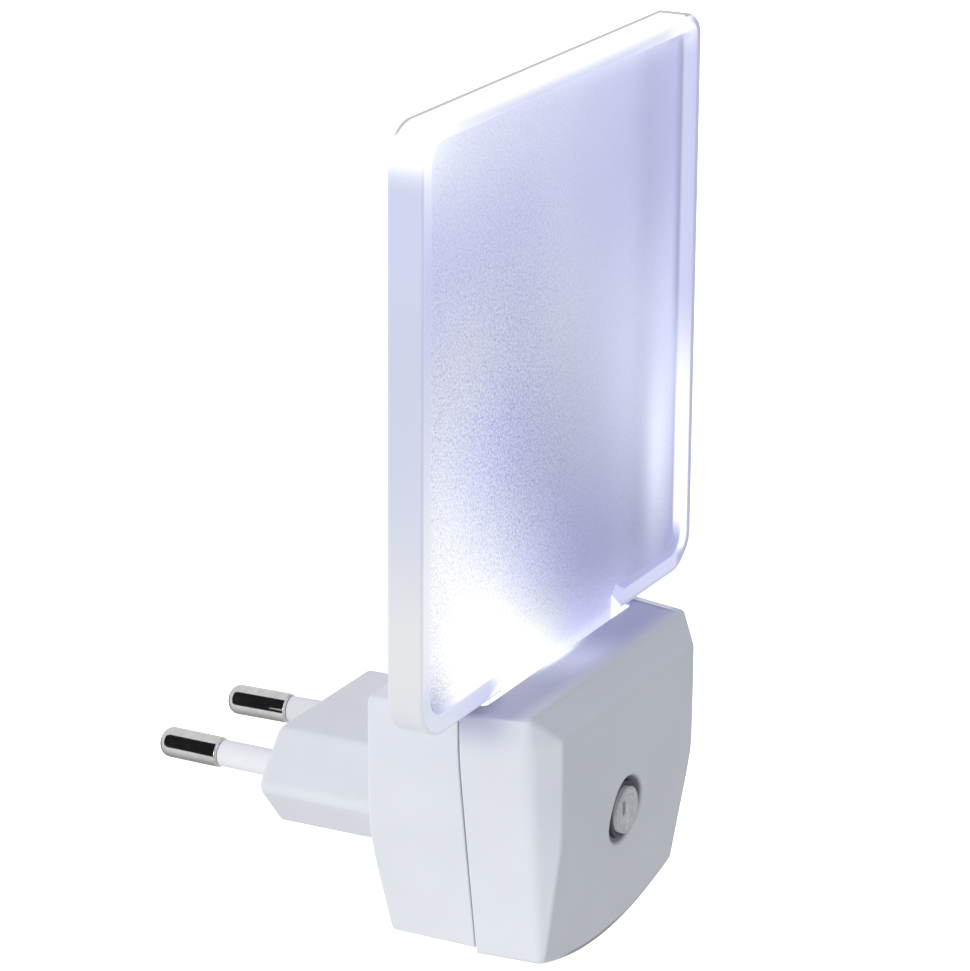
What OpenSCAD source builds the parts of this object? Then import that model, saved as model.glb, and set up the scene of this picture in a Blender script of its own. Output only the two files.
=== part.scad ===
// Plug-in night light: two-pin plug body, casing of two shells, light guide
// panel on top, dusk sensor in the front face. Millimetres, +Z up, the pins
// point along +Y, the front face looks along -Y. The origin is the centre of
// the plug's engagement face.

/* [Plug] */
// Width of the plug body from point to point
plug_w = 35.3; // [34.5:0.1:36]
// Width of the flat top and bottom of the plug body
plug_flat = 24.0; // [22:0.5:26]
// Thickness of the plug body
plug_t = 13.0; // [12.6:0.1:13.7]
// Distance from the engagement face to the back of the casing
plug_len = 20.0; // [19:0.5:22]
// Distance between the pin axes at the engagement face
pin_pitch = 18.6; // [18.4:0.05:18.8]
// Inward lean of each pin in degrees
pin_lean = 1.5; // [1:0.1:1.8]
// Length of a pin outside the plug body
pin_len = 19.0; // [18.5:0.1:19.5]
// Diameter of the bare metal end of a pin
pin_d = 4.0; // [3.94:0.01:4.06]
// Length of the bare metal end of a pin
pin_bare = 9.0; // [8.5:0.1:10]
// Outer diameter of the insulating sleeve
sleeve_d = 3.6; // [3.4:0.05:3.65]

/* [Casing] */
// Half width of the casing at the top of the parting plane
case_w = 24.9; // [24:0.1:26]
// Height of the casing top above the plug axis
case_top = 18.5; // [18:0.1:19]
// Height at which the sides start to taper
case_knee = 13.0; // [11:0.5:14]
// Half width of the casing at the foot of the parting plane
case_wb = 19.8; // [19.5:0.1:21]
// Height of the lower side corners
case_low = -15.4; // [-16:0.1:-15]
// Depth of the curved bottom edge below those corners
case_sag = 3.1; // [2.5:0.1:3.5]
// Distance of the parting plane from the engagement face
part_y = 32.5; // [32:0.1:33]
// Distance of the front face from the engagement face
face_y = 44.2; // [43.8:0.1:44.6]
// Wall thickness of both shells
wall = 2.0; // [1.8:0.1:2.2]
// Inward draft of the front shell's sides, per millimetre of depth
draft = 0.24; // [0.2:0.01:0.26]
// Half width of the front shell's foot, behind the corner facets
case_wf = 19.1; // [18.5:0.1:19.4]
// Depth of the front shell's side walls, up to the corner facets
side_d = 8.7; // [8.4:0.1:9]

/* [Light panel] */
// Width of the light panel
panel_w = 76.5; // [74:0.5:78]
// Height of the light panel without its tongue
panel_h = 75.0; // [73:0.5:77]
// Thickness of the panel at its rim
panel_t = 4.9; // [4.6:0.1:5.2]
// Distance of the panel's back from the engagement face
panel_y = 29.8; // [29.6:0.1:30]
// Height of the panel's lower edge
panel_z = 19.15; // [19.1:0.05:19.4]
// Corner radius of the panel
panel_r = 5.0; // [4:0.5:6]
// Width of the raised rim
rim_w = 2.4; // [2:0.1:3]
// Depth of the recessed front
rim_d = 1.5; // [1.2:0.1:1.8]
// Half width of the tongue
tongue_w = 17.9; // [17:0.1:18]
// Height of the lower edge of the tongue
tongue_z = 9.5; // [9.3:0.1:10]

/* [Sensor] */
// Height of the sensor axis
sensor_z = -1.0; // [-1.5:0.1:-0.5]
// Radius of the recess round the sensor
recess_r = 4.67; // [4.5:0.01:4.8]
// Radius of the opening in the front wall
sensor_r = 3.7; // [3.6:0.05:3.8]
// Radius of the clear lens
lens_r = 3.07; // [3:0.01:3.1]

/* [Board] */
// Half width of the circuit board
board_w = 15.3; // [15:0.1:15.6]
// Lower edge of the circuit board
board_lo = -12.6; // [-12.8:0.1:-12.4]
// Upper edge of the circuit board
board_hi = 8.0; // [7.8:0.1:8.2]
// Distance of the board's back from the engagement face
board_y = 37.2; // [37:0.1:37.4]
// Thickness of the circuit board
board_t = 1.6; // [1.5:0.1:1.6]

/* [Hidden] */
$fn = 48;
gap = 0.15;              // half of the visible gap along the parting plane
slice = 0.02;            // thickness of the slices that span the shells
screw_x = 13.5;          // casing screws
screw_z = 13.2;
post_x = 13.0;           // board screws
post_z = 5.8;
led_y = -(panel_y + 1.7);
led_z = 3.4;
lean_x = tan(pin_lean);

function unit(v) = v / norm(v);
// Points of the arc that rounds corner b between a and c with radius r
function corner(a, b, c, r, n) =
    let (u = unit(a - b), v = unit(c - b), h = acos(u * v) / 2,
         p = b + u * r / tan(h), q = b + v * r / tan(h),
         m = b + unit(u + v) * r / sin(h),
         s = atan2(p[1] - m[1], p[0] - m[0]),
         e = atan2(q[1] - m[1], q[0] - m[0]),
         d = e - s > 180 ? e - s - 360 : (e - s < -180 ? e - s + 360 : e - s))
    [for (i = [0:n]) m + r * [cos(s + d * i / n), sin(s + d * i / n)]];
function rounded(pts, r, n = 6) =
    let (k = len(pts))
    [for (i = [0:k - 1]) each corner(pts[(i + k - 1) % k], pts[i], pts[(i + 1) % k], r, n)];
function mirrored(half) =
    concat(half, [for (i = [len(half) - 1:-1:0]) if (half[i][0] > 0.001) [-half[i][0], half[i][1]]]);
function box_pts(w, lo, hi) = [[w, hi], [w, lo], [-w, lo], [-w, hi]];
// Curved foot of the casing from the corner (w, z) to the middle
function foot(w, z, sag, n = 8) =
    [for (i = [0:n]) let (x = w * (1 - i / n)) [x, z - sag * (1 - pow(x / w, 2))]];

// Casing outline: half width a at the top, knee height k, half width b at the
// foot, grown inwards by t
function case_outline(a, k, b, t = 0) =
    mirrored(concat([[0, case_top - t], [a - t - 1.2, case_top - t], [a - t - 0.35, case_top - t - 0.35],
                     [a - t, case_top - t - 1.2], [a - t, k]],
                    foot(b - t, case_low + t * 0.9, case_sag)));

// An outline in X and Z as a thin slice whose back is at distance y
module slab(y, pts, t = slice) {
    translate([0, -y, 0]) rotate([90, 0, 0]) linear_extrude(height = t) polygon(pts);
}
module hex_outline(w, f, h, r) {
    polygon(rounded([[w / 2, 0], [f / 2, -h / 2], [-f / 2, -h / 2], [-w / 2, 0], [-f / 2, h / 2], [f / 2, h / 2]], r));
}
// A plug-shaped prism from distance y0 to y1 behind the engagement face
module hex_prism(y0, y1, grow = 0, r = 1.6) {
    translate([0, -y0, 0]) rotate([90, 0, 0]) linear_extrude(height = y1 - y0)
        hex_outline(plug_w + 2 * grow, plug_flat + 1.2 * grow, plug_t + 2 * grow, r);
}
// Cylinder along -Y from distance y0 to y1
module ycyl(x, z, y0, y1, r) {
    translate([x, -y0, z]) rotate([90, 0, 0]) cylinder(h = y1 - y0, r = r);
}
module ycone(x, z, y0, y1, r0, r1) {
    translate([x, -y0, z]) rotate([90, 0, 0]) cylinder(h = y1 - y0, r1 = r0, r2 = r1);
}
// Box between distances y0 and y1
module ybox(x0, x1, y0, y1, z0, z1) {
    translate([x0, -y1, z0]) cube([x1 - x0, y1 - y0, z1 - z0]);
}
// Places a pin: side is -1 or 1, +Z of the child becomes the pin axis
module on_pin(side) {
    translate([side * pin_pitch / 2, 0, 0]) rotate([0, 0, side * pin_lean]) rotate([-90, 0, 0]) children();
}
// A round wire through the points p
module wire(p, r) {
    for (i = [0:len(p) - 2]) {
        v = p[i + 1] - p[i];
        translate(p[i]) rotate([0, acos(v[2] / norm(v)), atan2(v[1], v[0])]) cylinder(h = norm(v), r = r, $fn = 24);
    }
    for (i = [1:len(p) - 2]) translate(p[i]) sphere(r = r, $fn = 24);
}

// ---- shells ----------------------------------------------------------------
module front_solid(t) {
    // parting plane, end of the side walls, front face: upper part and foot
    y0 = part_y + gap;
    hull() {
        slab(t > 0 ? y0 - 1 : y0, case_outline(case_w + (t > 0 ? draft : 0), case_knee, case_wb + (t > 0 ? draft : 0), t));
        slab(part_y + side_d - t * 0.3 - slice,
             case_outline(case_w - draft * side_d, case_knee, case_wf, t));
        slab(face_y - t - slice,
             box_pts(19.4 - t * 0.8, sensor_z + 0.6, 15.0 - t * 0.6));
    }
}
module front_casing() {
    color("white") {
        difference() {
            union() {
                difference() {
                    front_solid(0);
                    front_solid(wall);
                }
                // lip that enters the rear shell
                difference() {
                    slab(part_y - 1.6, case_outline(case_w, case_knee, case_wb, wall * 0.55), 2.6);
                    slab(part_y - 2.6, case_outline(case_w, case_knee, case_wb, wall + 0.2), 4.6);
                    ybox(-22, 22, part_y - 3, part_y + gap, 14, 20);
                }
                // bosses for the casing screws and posts for the board
                for (s = [-1, 1]) {
                    intersection() {
                        union() {
                            ycyl(s * screw_x, screw_z, 28.6, face_y - 1, 2.3);
                            ycyl(s * post_x, post_z, board_y + board_t + 0.02, face_y - 1, 2.0);
                        }
                        union() {
                            front_solid(0.6);
                            ybox(-20, 20, 28, part_y + 1, 5, 17);
                        }
                    }
                }
                // collar round the sensor opening
                ycyl(0, sensor_z, face_y - wall - 0.6, face_y - wall + 0.4, sensor_r + 1.4);
            }
            // blind pilot holes
            for (s = [-1, 1]) {
                ycyl(s * screw_x, screw_z, 28, 37.2, 1.42);
                ycyl(s * post_x, post_z, board_y, 41.6, 0.92);
            }
            // sensor opening and its recess
            ycyl(0, sensor_z, face_y - 4, face_y + 1, sensor_r);
            ycone(0, sensor_z, face_y - 1.35, face_y - 0.75, sensor_r, recess_r - 0.25);
            ycyl(0, sensor_z, face_y - 0.76, face_y + 1, recess_r);
            // slot for the tongue of the light panel
            ybox(-21, 21, part_y - 3, panel_y + panel_t + 0.5, case_top - wall - 0.35, case_top + 1);
        }
    }
}

module rear_solid(t) {
    hull() {
        // back face, with its lower part leaning forwards
        slab(plug_len + t, mirrored([[0, case_top - t], [case_w - t - 1.2, case_top - t], [case_w - t, case_top - t - 1.2],
                                     [case_w - t, 1.0], [case_w - 1.6 - t, -4.5], [0, -6]]));
        slab(plug_len + t + 0.75, case_outline(case_w, case_knee - 9, case_wb - 0.2, t + 0.25));
        slab(part_y - gap - (t > 0 ? -1 : slice), case_outline(case_w, case_knee, case_wb, t + (t > 0 ? 0 : 0.2)));
    }
}
module rear_casing() {
    color("white") {
        difference() {
            union() {
                difference() {
                    rear_solid(0);
                    rear_solid(wall);
                }
                for (s = [-1, 1]) ycyl(s * screw_x, screw_z - 0.2, plug_len + 1, 28.4, 3.6);
            }
            // aperture for the plug body
            hex_prism(plug_len - 1, plug_len + wall + 1, 0.1);
            // screw recesses and clearance holes
            for (s = [-1, 1]) {
                ycyl(s * screw_x, screw_z, plug_len - 1, 24.6, 2.75);
                ycyl(s * screw_x, screw_z, 24, 29, 1.6);
            }
            // slot for the tongue and rebate for the front shell's lip
            ybox(-21, 21, panel_y + 0.05, part_y + 1, case_top - wall - 0.35, case_top + 1);
            slab(part_y - 1.75, case_outline(case_w, case_knee, case_wb, wall * 0.55 - 0.1), 3);
        }
    }
}

// ---- plug --------------------------------------------------------------------
module plug_body() {
    color("white") difference() {
        union() {
            hex_prism(0, plug_len + wall + 1);
            // flange behind the rear shell's wall
            hex_prism(plug_len + wall + 0.3, plug_len + wall + 1.9, 1.6);
        }
        for (s = [-1, 1]) {
            on_pin(s) translate([0, 0, -30]) cylinder(h = 40, r = 1.52);
            on_pin(s) translate([0, 0, -4]) cylinder(h = 10, r = sleeve_d / 2 + 0.02);
            // shallow ring recess where the sleeve comes out
            on_pin(s) translate([0, 0, -0.4]) cylinder(h = 2, r = 2.3);
        }
    }
}
module pin(side) {
    r = pin_d / 2;
    z1 = pin_len - pin_bare;
    // rivet end, core, chamfered shoulder, bare end and rounded nose
    prof = concat([[0, -26.2], [0.9, -26.2], [0.9, -25.4], [1.5, -25.4], [1.5, z1], [r - 0.25, z1], [r, z1 + 0.25],
                   [r, pin_len - 1.3]],
                  [for (i = [1:8]) [r - 1.3 + 1.3 * cos(i * 11.25), pin_len - 1.3 + 1.3 * sin(i * 11.25)]],
                  [[0, pin_len]]);
    color("silver") on_pin(side) rotate_extrude($fn = 64) polygon(prof);
}
module pin_left() { pin(-1); }
module pin_right() { pin(1); }
module sleeve(side) {
    color("white") on_pin(side) translate([0, 0, -3.95]) difference() {
        cylinder(h = pin_len - pin_bare + 3.95 - 0.05, r = sleeve_d / 2);
        translate([0, 0, -1]) cylinder(h = 20, r = 1.52);
    }
}
module sleeve_left() { sleeve(-1); }
module sleeve_right() { sleeve(1); }
// Strip riveted to the inner end of a pin and bent towards the board
module contact(side) {
    px = (pin_pitch / 2 + 25.6 * lean_x);
    color("gold") difference() {
        union() {
            ybox(side > 0 ? px - 2.6 : -px - 5.2, side > 0 ? px + 5.2 : -px + 2.6, 25.45, 25.95, -2.6, 2.6);
            ybox(side > 0 ? px + 4.7 : -px - 5.2, side > 0 ? px + 5.2 : -px - 4.7, 25.45, 29.6, -1.6, 1.6);
        }
        ycyl(side * px, 0, 25, 27, 0.96);
    }
}
module contact_left() { contact(-1); }
module contact_right() { contact(1); }
// Insulated wire from the strip to the board
module lead() {
    px = pin_pitch / 2 + 25.6 * lean_x + 6.0;
    wire([[-px, -26.6, 0], [-px, -35.4, 0], [-14.5, -35.4, 0], [-14.5, -board_y + 0.02, 0]], 0.75);
}
module lead_live() { color("saddlebrown") lead(); }
module lead_neutral() { color("royalblue") mirror([1, 0, 0]) lead(); }

// ---- light panel ---------------------------------------------------------------
module panel_outline(grow = 0, r = panel_r) {
    polygon(rounded([[panel_w / 2 + grow, panel_z - grow], [-panel_w / 2 - grow, panel_z - grow],
                     [-panel_w / 2 - grow, panel_z + panel_h + grow], [panel_w / 2 + grow, panel_z + panel_h + grow]], r, 8));
}
module light_panel() {
    color("lavender") difference() {
        union() {
            translate([0, -panel_y, 0]) rotate([90, 0, 0]) linear_extrude(height = panel_t) panel_outline();
            // tongue that the LEDs shine into
            ybox(-tongue_w, tongue_w, panel_y + 0.15, panel_y + panel_t - rim_d, tongue_z, panel_z + 4);
        }
        // recessed front
        translate([0, -(panel_y + panel_t - rim_d), 0]) rotate([90, 0, 0]) linear_extrude(height = rim_d + 1)
            panel_outline(-rim_w, panel_r - rim_w + 0.6);
        // break in the lower rim above the tongue
        ybox(-tongue_w - 0.4, tongue_w + 0.4, panel_y + panel_t - rim_d, panel_y + panel_t + 1, panel_z - 1, panel_z + rim_w + 1);
        for (s = [-1, 1]) ycyl(s * screw_x, screw_z, panel_y - 1, panel_y + panel_t, 2.45);
    }
}

// ---- sensor --------------------------------------------------------------------
module sensor_lens() {
    color("gainsboro", 0.6) {
        ycyl(0, sensor_z, face_y - 3.3, face_y - 2.65, lens_r + 0.75);
        intersection() {
            ycyl(0, sensor_z, face_y - 2.66, face_y, lens_r);
            translate([0, -(face_y - 12.3), sensor_z]) sphere(r = 12, $fn = 64);
        }
    }
}
module sensor_ring() {
    color("dimgray") difference() {
        ycyl(0, sensor_z, face_y - 2.6, face_y - 1.1, sensor_r - 0.05);
        ycyl(0, sensor_z, face_y - 3, face_y, lens_r + 0.05);
    }
}
module sensor_shroud() {
    color("black") difference() {
        ycyl(0, sensor_z, board_y + board_t + 0.02, face_y - 3.35, 3.8);
        ycyl(0, sensor_z, board_y, face_y, 2.95);
    }
}
module photocell() {
    color("indianred") {
        ycyl(0, sensor_z, board_y + board_t + 0.4, face_y - 3.5, 2.5);
        for (s = [-1, 1]) ycyl(s * 1.7, sensor_z, board_y + board_t + 0.01, board_y + board_t + 0.45, 0.3);
    }
}

// ---- board and what it carries ---------------------------------------------------
module circuit_board() {
    color("seagreen") difference() {
        ybox(-board_w, board_w, board_y, board_y + board_t, board_lo, board_hi);
        for (s = [-1, 1]) ycyl(s * post_x, post_z, board_y - 1, board_y + 3, 1.1);
    }
}
module led(x) {
    color("lightyellow") {
        translate([x, led_y, led_z + 0.02]) cylinder(h = 0.8, r = 1.75);
        translate([x, led_y, led_z + 0.02]) cylinder(h = 3.9, r = 1.45);
        translate([x, led_y, led_z + 3.92]) sphere(r = 1.45);
        for (s = [-1, 1])
            wire([[x + s * 0.75, led_y, led_z + 0.2], [x + s * 0.75, led_y, 1.4], [x + s * 0.75, -board_y + 0.02, 1.4]], 0.25);
    }
}
module led_left() { led(-8.5); }
module led_centre() { led(0); }
module led_right() { led(8.5); }
module led_reflector() {
    color("white") difference() {
        ybox(-11.6, 11.6, 28.9, 34.1, led_z - 0.8, tongue_z - 0.25);
        ybox(-10.8, 10.8, 29.6, 33.4, led_z, tongue_z);
        for (x = [-8.5, 0, 8.5]) translate([x, led_y, 0]) cylinder(h = 10, r = 1.3);
    }
}
module film_capacitor() {
    color("goldenrod") ybox(-14.2, -2.4, 30.6, board_y - 0.02, -12.2, -5.6);
}
module smoothing_capacitor() {
    color("midnightblue") union() {
        ycyl(9.6, -8.6, 28.2, 34.4, 3.15);
        ycyl(9.6, -8.6, 34.4, 35.0, 2.9);
        ycyl(9.6, -8.6, 35.0, board_y - 0.02, 3.15);
    }
}
module bridge_rectifier() {
    color("black") {
        ybox(-13.4, -7.0, 34.6, board_y - 0.3, -4.6, -0.4);
        for (x = [-12.4, -8.0], z = [-4.9, -0.4])
            ybox(x - 0.3, x + 0.3, board_y - 0.6, board_y - 0.02, z, z + 0.3);
    }
}
// Axial part lying along X with bent leads
module axial(x0, x1, z, r, out) {
    y = -(board_y - out);
    translate([x0, y, z]) rotate([0, 90, 0]) cylinder(h = x1 - x0, r = r, $fn = 32);
    for (s = [0, 1])
        wire([[s == 0 ? x0 + 0.2 : x1 - 0.2, y, z], [s == 0 ? x0 - 0.8 : x1 + 0.8, y, z],
              [s == 0 ? x0 - 0.8 : x1 + 0.8, -board_y + 0.02, z]], 0.25);
}
module fuse_resistor() { color("mediumseagreen") axial(3.6, 11.4, -2.6, 1.35, 1.5); }
module bleed_resistor() { color("tan") axial(-9.8, -3.8, 5.8, 0.95, 1.3); }
module zener_diode() { color("orangered") axial(4.6, 8.6, 5.8, 0.9, 1.3); }
module switching_transistor() {
    color("black") {
        difference() {
            ycyl(-2.2, -2.6, 32.6, board_y - 0.9, 2.2);
            ybox(-5, 1, 32, 38, -5.5, -3.9);
        }
        for (x = [-3.4, -2.2, -1.0]) ycyl(x, -2.6, board_y - 1, board_y - 0.02, 0.25);
    }
}

// ---- screws ----------------------------------------------------------------------
module screw(x, z, y0, yh, y1, rh, r) {
    // head from y0 to yh, shank to y1, cross recess in the head
    difference() {
        union() {
            ycyl(x, z, y0, yh, rh);
            ycyl(x, z, yh, y1 - 1, r);
            ycone(x, z, y1 - 1.001, y1, r, 0.4);
        }
        ybox(x - rh * 0.6, x + rh * 0.6, y0 - 1, y0 + (yh - y0) * 0.6, z - 0.3, z + 0.3);
        ybox(x - 0.3, x + 0.3, y0 - 1, y0 + (yh - y0) * 0.6, z - rh * 0.6, z + rh * 0.6);
    }
}
module casing_screws() {
    color("silver") for (s = [-1, 1]) screw(s * screw_x, screw_z, 22.8, 24.58, 36.8, 2.6, 1.4);
}
module board_screws() {
    color("silver") for (s = [-1, 1]) screw(s * post_x, post_z, board_y - 1.3, board_y - 0.02, 41.2, 1.8, 0.9);
}

front_casing();
rear_casing();
plug_body();
pin_left();
pin_right();
sleeve_left();
sleeve_right();
contact_left();
contact_right();
lead_live();
lead_neutral();
light_panel();
sensor_lens();
sensor_ring();
sensor_shroud();
photocell();
circuit_board();
led_left();
led_centre();
led_right();
led_reflector();
film_capacitor();
smoothing_capacitor();
bridge_rectifier();
fuse_resistor();
bleed_resistor();
zener_diode();
switching_transistor();
casing_screws();
board_screws();
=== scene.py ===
import math

import bpy
import bmesh
from mathutils import Matrix, Vector


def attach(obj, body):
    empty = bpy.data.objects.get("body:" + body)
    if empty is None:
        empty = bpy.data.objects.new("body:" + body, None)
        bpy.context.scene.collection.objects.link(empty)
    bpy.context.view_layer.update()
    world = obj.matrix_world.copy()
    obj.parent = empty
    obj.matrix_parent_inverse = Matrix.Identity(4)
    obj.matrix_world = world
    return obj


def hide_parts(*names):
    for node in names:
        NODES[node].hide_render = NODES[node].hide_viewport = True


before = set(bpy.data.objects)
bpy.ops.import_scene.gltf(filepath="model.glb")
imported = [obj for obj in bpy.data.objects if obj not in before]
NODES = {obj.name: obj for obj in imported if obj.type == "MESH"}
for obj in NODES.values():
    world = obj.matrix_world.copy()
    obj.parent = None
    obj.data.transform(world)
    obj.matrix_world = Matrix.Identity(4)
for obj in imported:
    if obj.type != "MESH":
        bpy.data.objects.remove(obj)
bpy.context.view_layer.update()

SC = bpy.context.scene

# ---------------------------------------------------------------------------
# Sizes in millimetres, in the CAD frame: x across, "d" is the distance in
# front of the plug's engagement face (d = -y), z up.
# ---------------------------------------------------------------------------
PLUG_W, PLUG_FLAT, PLUG_T, PLUG_LEN = 35.3, 24.0, 13.0, 20.5
PITCH, LEAN = 18.6, math.radians(1.5)
PIN_LEN, PIN_BARE, PIN_R, SLEEVE_R = 19.0, 9.0, 2.0, 1.8
PART_D, FACE_D, SIDE_D, BACK_D, WALL = 32.5, 44.2, 41.2, 19.85, 2.0
CASE_W, CASE_WB, CASE_TOP, CASE_LOW, CASE_SAG = 24.9, 19.75, 18.5, -15.4, 3.1
PAN_W, PAN_Z0, PAN_Z1 = 38.25, 19.15, 94.15
PAN_B, PAN_F, FLOOR_D = 29.8, 34.7, 33.2
PAN_R2, BREAK_X, TONGUE_X = 3.0, 18.3, 17.9
SENS_Z = -1.0


def V(x, d, z):
    return Vector((x, -d, z))


# ---------------------------------------------------------------------------
# Mesh helpers. Everything is built in millimetres and scaled at the end.
# ---------------------------------------------------------------------------
def new_object(name, verts, faces):
    me = bpy.data.meshes.new(name)
    me.from_pydata([tuple(v) for v in verts], [], faces)
    ob = bpy.data.objects.new(name, me)
    SC.collection.objects.link(ob)
    return ob


def tidy(ob, dist=1e-5):
    bm = bmesh.new()
    bm.from_mesh(ob.data)
    bmesh.ops.remove_doubles(bm, verts=bm.verts, dist=dist)
    bmesh.ops.dissolve_degenerate(bm, edges=bm.edges, dist=dist)
    bmesh.ops.recalc_face_normals(bm, faces=bm.faces)
    bm.to_mesh(ob.data)
    bm.free()
    return ob


def bake_modifiers(ob):
    bpy.context.view_layer.update()
    dg = bpy.context.evaluated_depsgraph_get()
    me = bpy.data.meshes.new_from_object(ob.evaluated_get(dg))
    ob.modifiers.clear()
    old = ob.data
    ob.data = me
    bpy.data.meshes.remove(old)
    return ob


def boolean(ob, other, op="DIFFERENCE"):
    m = ob.modifiers.new("cut", "BOOLEAN")
    m.operation = op
    m.solver = "EXACT"
    m.object = other
    bake_modifiers(ob)
    data = other.data
    bpy.data.objects.remove(other)
    bpy.data.meshes.remove(data)
    return ob


def finished(ob, name, angle=32.0, weighted=True):
    """Scales to metres, shades smooth between soft edges and keeps the flats flat."""
    tidy(ob)
    ob.data.transform(Matrix.Scale(0.001, 4))
    ob.data.shade_smooth()
    ob.data.set_sharp_from_angle(angle=math.radians(angle))
    if weighted:
        w = ob.modifiers.new("normals", "WEIGHTED_NORMAL")
        w.mode = "FACE_AREA"
        w.weight = 50
        w.keep_sharp = True
        bake_modifiers(ob)
    ob.name = name
    ob.data.name = name
    return ob


def loft(name, rings, closed_v=False, cap_start=False, cap_end=False):
    """Quads between rings of equal length, each ring closed."""
    n = len(rings[0])
    verts = [p for r in rings for p in r]
    faces = []
    m = len(rings)
    for j in range(m if closed_v else m - 1):
        a, b = j * n, ((j + 1) % m) * n
        for i in range(n):
            k = (i + 1) % n
            faces.append((a + i, a + k, b + k, b + i))
    if cap_start:
        faces.append(tuple(range(n)))
    if cap_end:
        faces.append(tuple(range((m - 1) * n, m * n)))
    return new_object(name, verts, faces)


def lathe(name, prof, steps, place, cap_start=False, cap_end=False, closed=False):
    """prof is a list of (radius, height); place maps (x, y, height) to the frame.
    A radius of 0 at an end becomes one point there."""
    verts, faces, ring = [], [], []
    for r, h in prof:
        if r < 1e-6:
            ring.append([len(verts)])
            verts.append(place(0, 0, h))
        else:
            ring.append(list(range(len(verts), len(verts) + steps)))
            for i in range(steps):
                t = 2 * math.pi * i / steps
                verts.append(place(r * math.cos(t), r * math.sin(t), h))
    pairs = list(zip(ring, ring[1:])) + ([(ring[-1], ring[0])] if closed else [])
    for a, b in pairs:
        for i in range(steps):
            k = (i + 1) % steps
            if len(a) == 1 and len(b) == 1:
                continue
            if len(a) == 1:
                faces.append((a[0], b[k], b[i]))
            elif len(b) == 1:
                faces.append((a[i], a[k], b[0]))
            else:
                faces.append((a[i], a[k], b[k], b[i]))
    if cap_start:
        faces.append(tuple(ring[0]))
    if cap_end:
        faces.append(tuple(ring[-1]))
    return new_object(name, verts, faces)


def arc(p0, p1, p2, n):
    """Points of the round corner that starts at p0, is tangent towards p1 and ends at p2."""
    u, v = p0 - p1, p2 - p1
    if u.length < 1e-7 or v.length < 1e-7:
        return [p1.copy() for _ in range(n + 1)]
    c = max(-1.0, min(1.0, -(u.normalized().dot(v.normalized()))))
    w = math.cos(math.acos(c) / 2)
    out = []
    for i in range(n + 1):
        t = i / n
        b0, b1, b2 = (1 - t) ** 2, 2 * t * (1 - t) * w, t * t
        out.append((p0 * b0 + p1 * b1 + p2 * b2) / (b0 + b1 + b2))
    return out


def round_path(pts, dist, segs):
    """The polyline pts with its inner corners rounded over the tangent lengths in dist."""
    out = [pts[0]]
    for k in range(1, len(pts) - 1):
        a, b, c = pts[k - 1], pts[k], pts[k + 1]
        d = dist[k]
        la, lc = (b - a).length, (c - b).length
        da = min(d, la * 0.48)
        dc = min(d, lc * 0.48)
        if d <= 0 or la < 1e-6 or lc < 1e-6:
            out += [b.copy() for _ in range(segs[k] + 1)] if segs[k] else [b]
            continue
        out += arc(b + (a - b) * (da / la), b, b + (c - b) * (dc / lc), segs[k])
    out.append(pts[-1])
    return out


def smooth_max(u, h):
    return 0.5 * (u + math.sqrt(u * u + h * h))


def smoothstep(a, b, x):
    t = max(0.0, min(1.0, (x - a) / (b - a)))
    return t * t * (3 - 2 * t)


# ---------------------------------------------------------------------------
# Outline of the casing in X and Z, as a loop with a fixed count of columns
# ---------------------------------------------------------------------------
N_TOP, N_COR, N_SIDE, N_FOOT, N_BOT = 16, 8, 34, 8, 20


class Outline:
    def __init__(self, a, zk, b, zt, zb, sag, rt, df, h):
        self.a, self.zk, self.b, self.zt, self.zb = a, zk, b, zt, zb
        self.sag, self.rt, self.df, self.h = sag, rt, df, h
        self.slope = (a - b) / (zk - zb)

    def width(self, z):
        full = self.a - self.slope * smooth_max(self.zk - z, self.h)
        off = self.slope * smooth_max(self.zk - self.zt, self.h)
        return full + off

    def low(self, x):
        return self.zb - self.sag * (1 - (x / self.b) ** 2)

    def half(self, t_in=0.0):
        """Right half from the top centre to the bottom centre, moved inwards by t_in."""
        s = self
        a, zt, zb = s.a - t_in, s.zt - t_in, s.zb + t_in * 0.95
        b = s.b - t_in
        rt = max(0.25, s.rt - t_in)
        df = max(0.25, s.df - t_in * 0.5)
        low = lambda x: zb - s.sag * (1 - (x / b) ** 2)
        wid = lambda z: s.width(z) - t_in
        pts = []
        w0 = wid(zt - rt)
        for i in range(N_TOP):
            pts.append((i / N_TOP * (w0 - rt), zt))
        for i in range(N_COR):
            t = math.radians(90 * (1 - i / N_COR))
            pts.append((w0 - rt + rt * math.cos(t), zt - rt + rt * math.sin(t)))
        z0, z1 = zt - rt, zb + df
        for i in range(N_SIDE):
            z = z0 + (z1 - z0) * i / N_SIDE
            pts.append((wid(z), z))
        p0 = Vector((wid(z1), z1))
        p1 = Vector((wid(zb), zb))
        xe = p1.x - df
        p2 = Vector((xe, low(xe)))
        for p in arc(p0, p1, p2, N_FOOT)[:-1]:
            pts.append((p.x, p.y))
        for i in range(N_BOT + 1):
            x = xe * (1 - i / N_BOT)
            pts.append((x, low(x)))
        return pts

    def loop(self, t_in=0.0):
        h = self.half(t_in)
        return h + [(-x, z) for x, z in reversed(h[1:-1])]


def inset(o, da=0.0, db=0.0, dz=0.0):
    return Outline(o.a - da, o.zk, o.b - db, o.zt, o.zb + dz, o.sag, o.rt, o.df, o.h)


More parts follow.
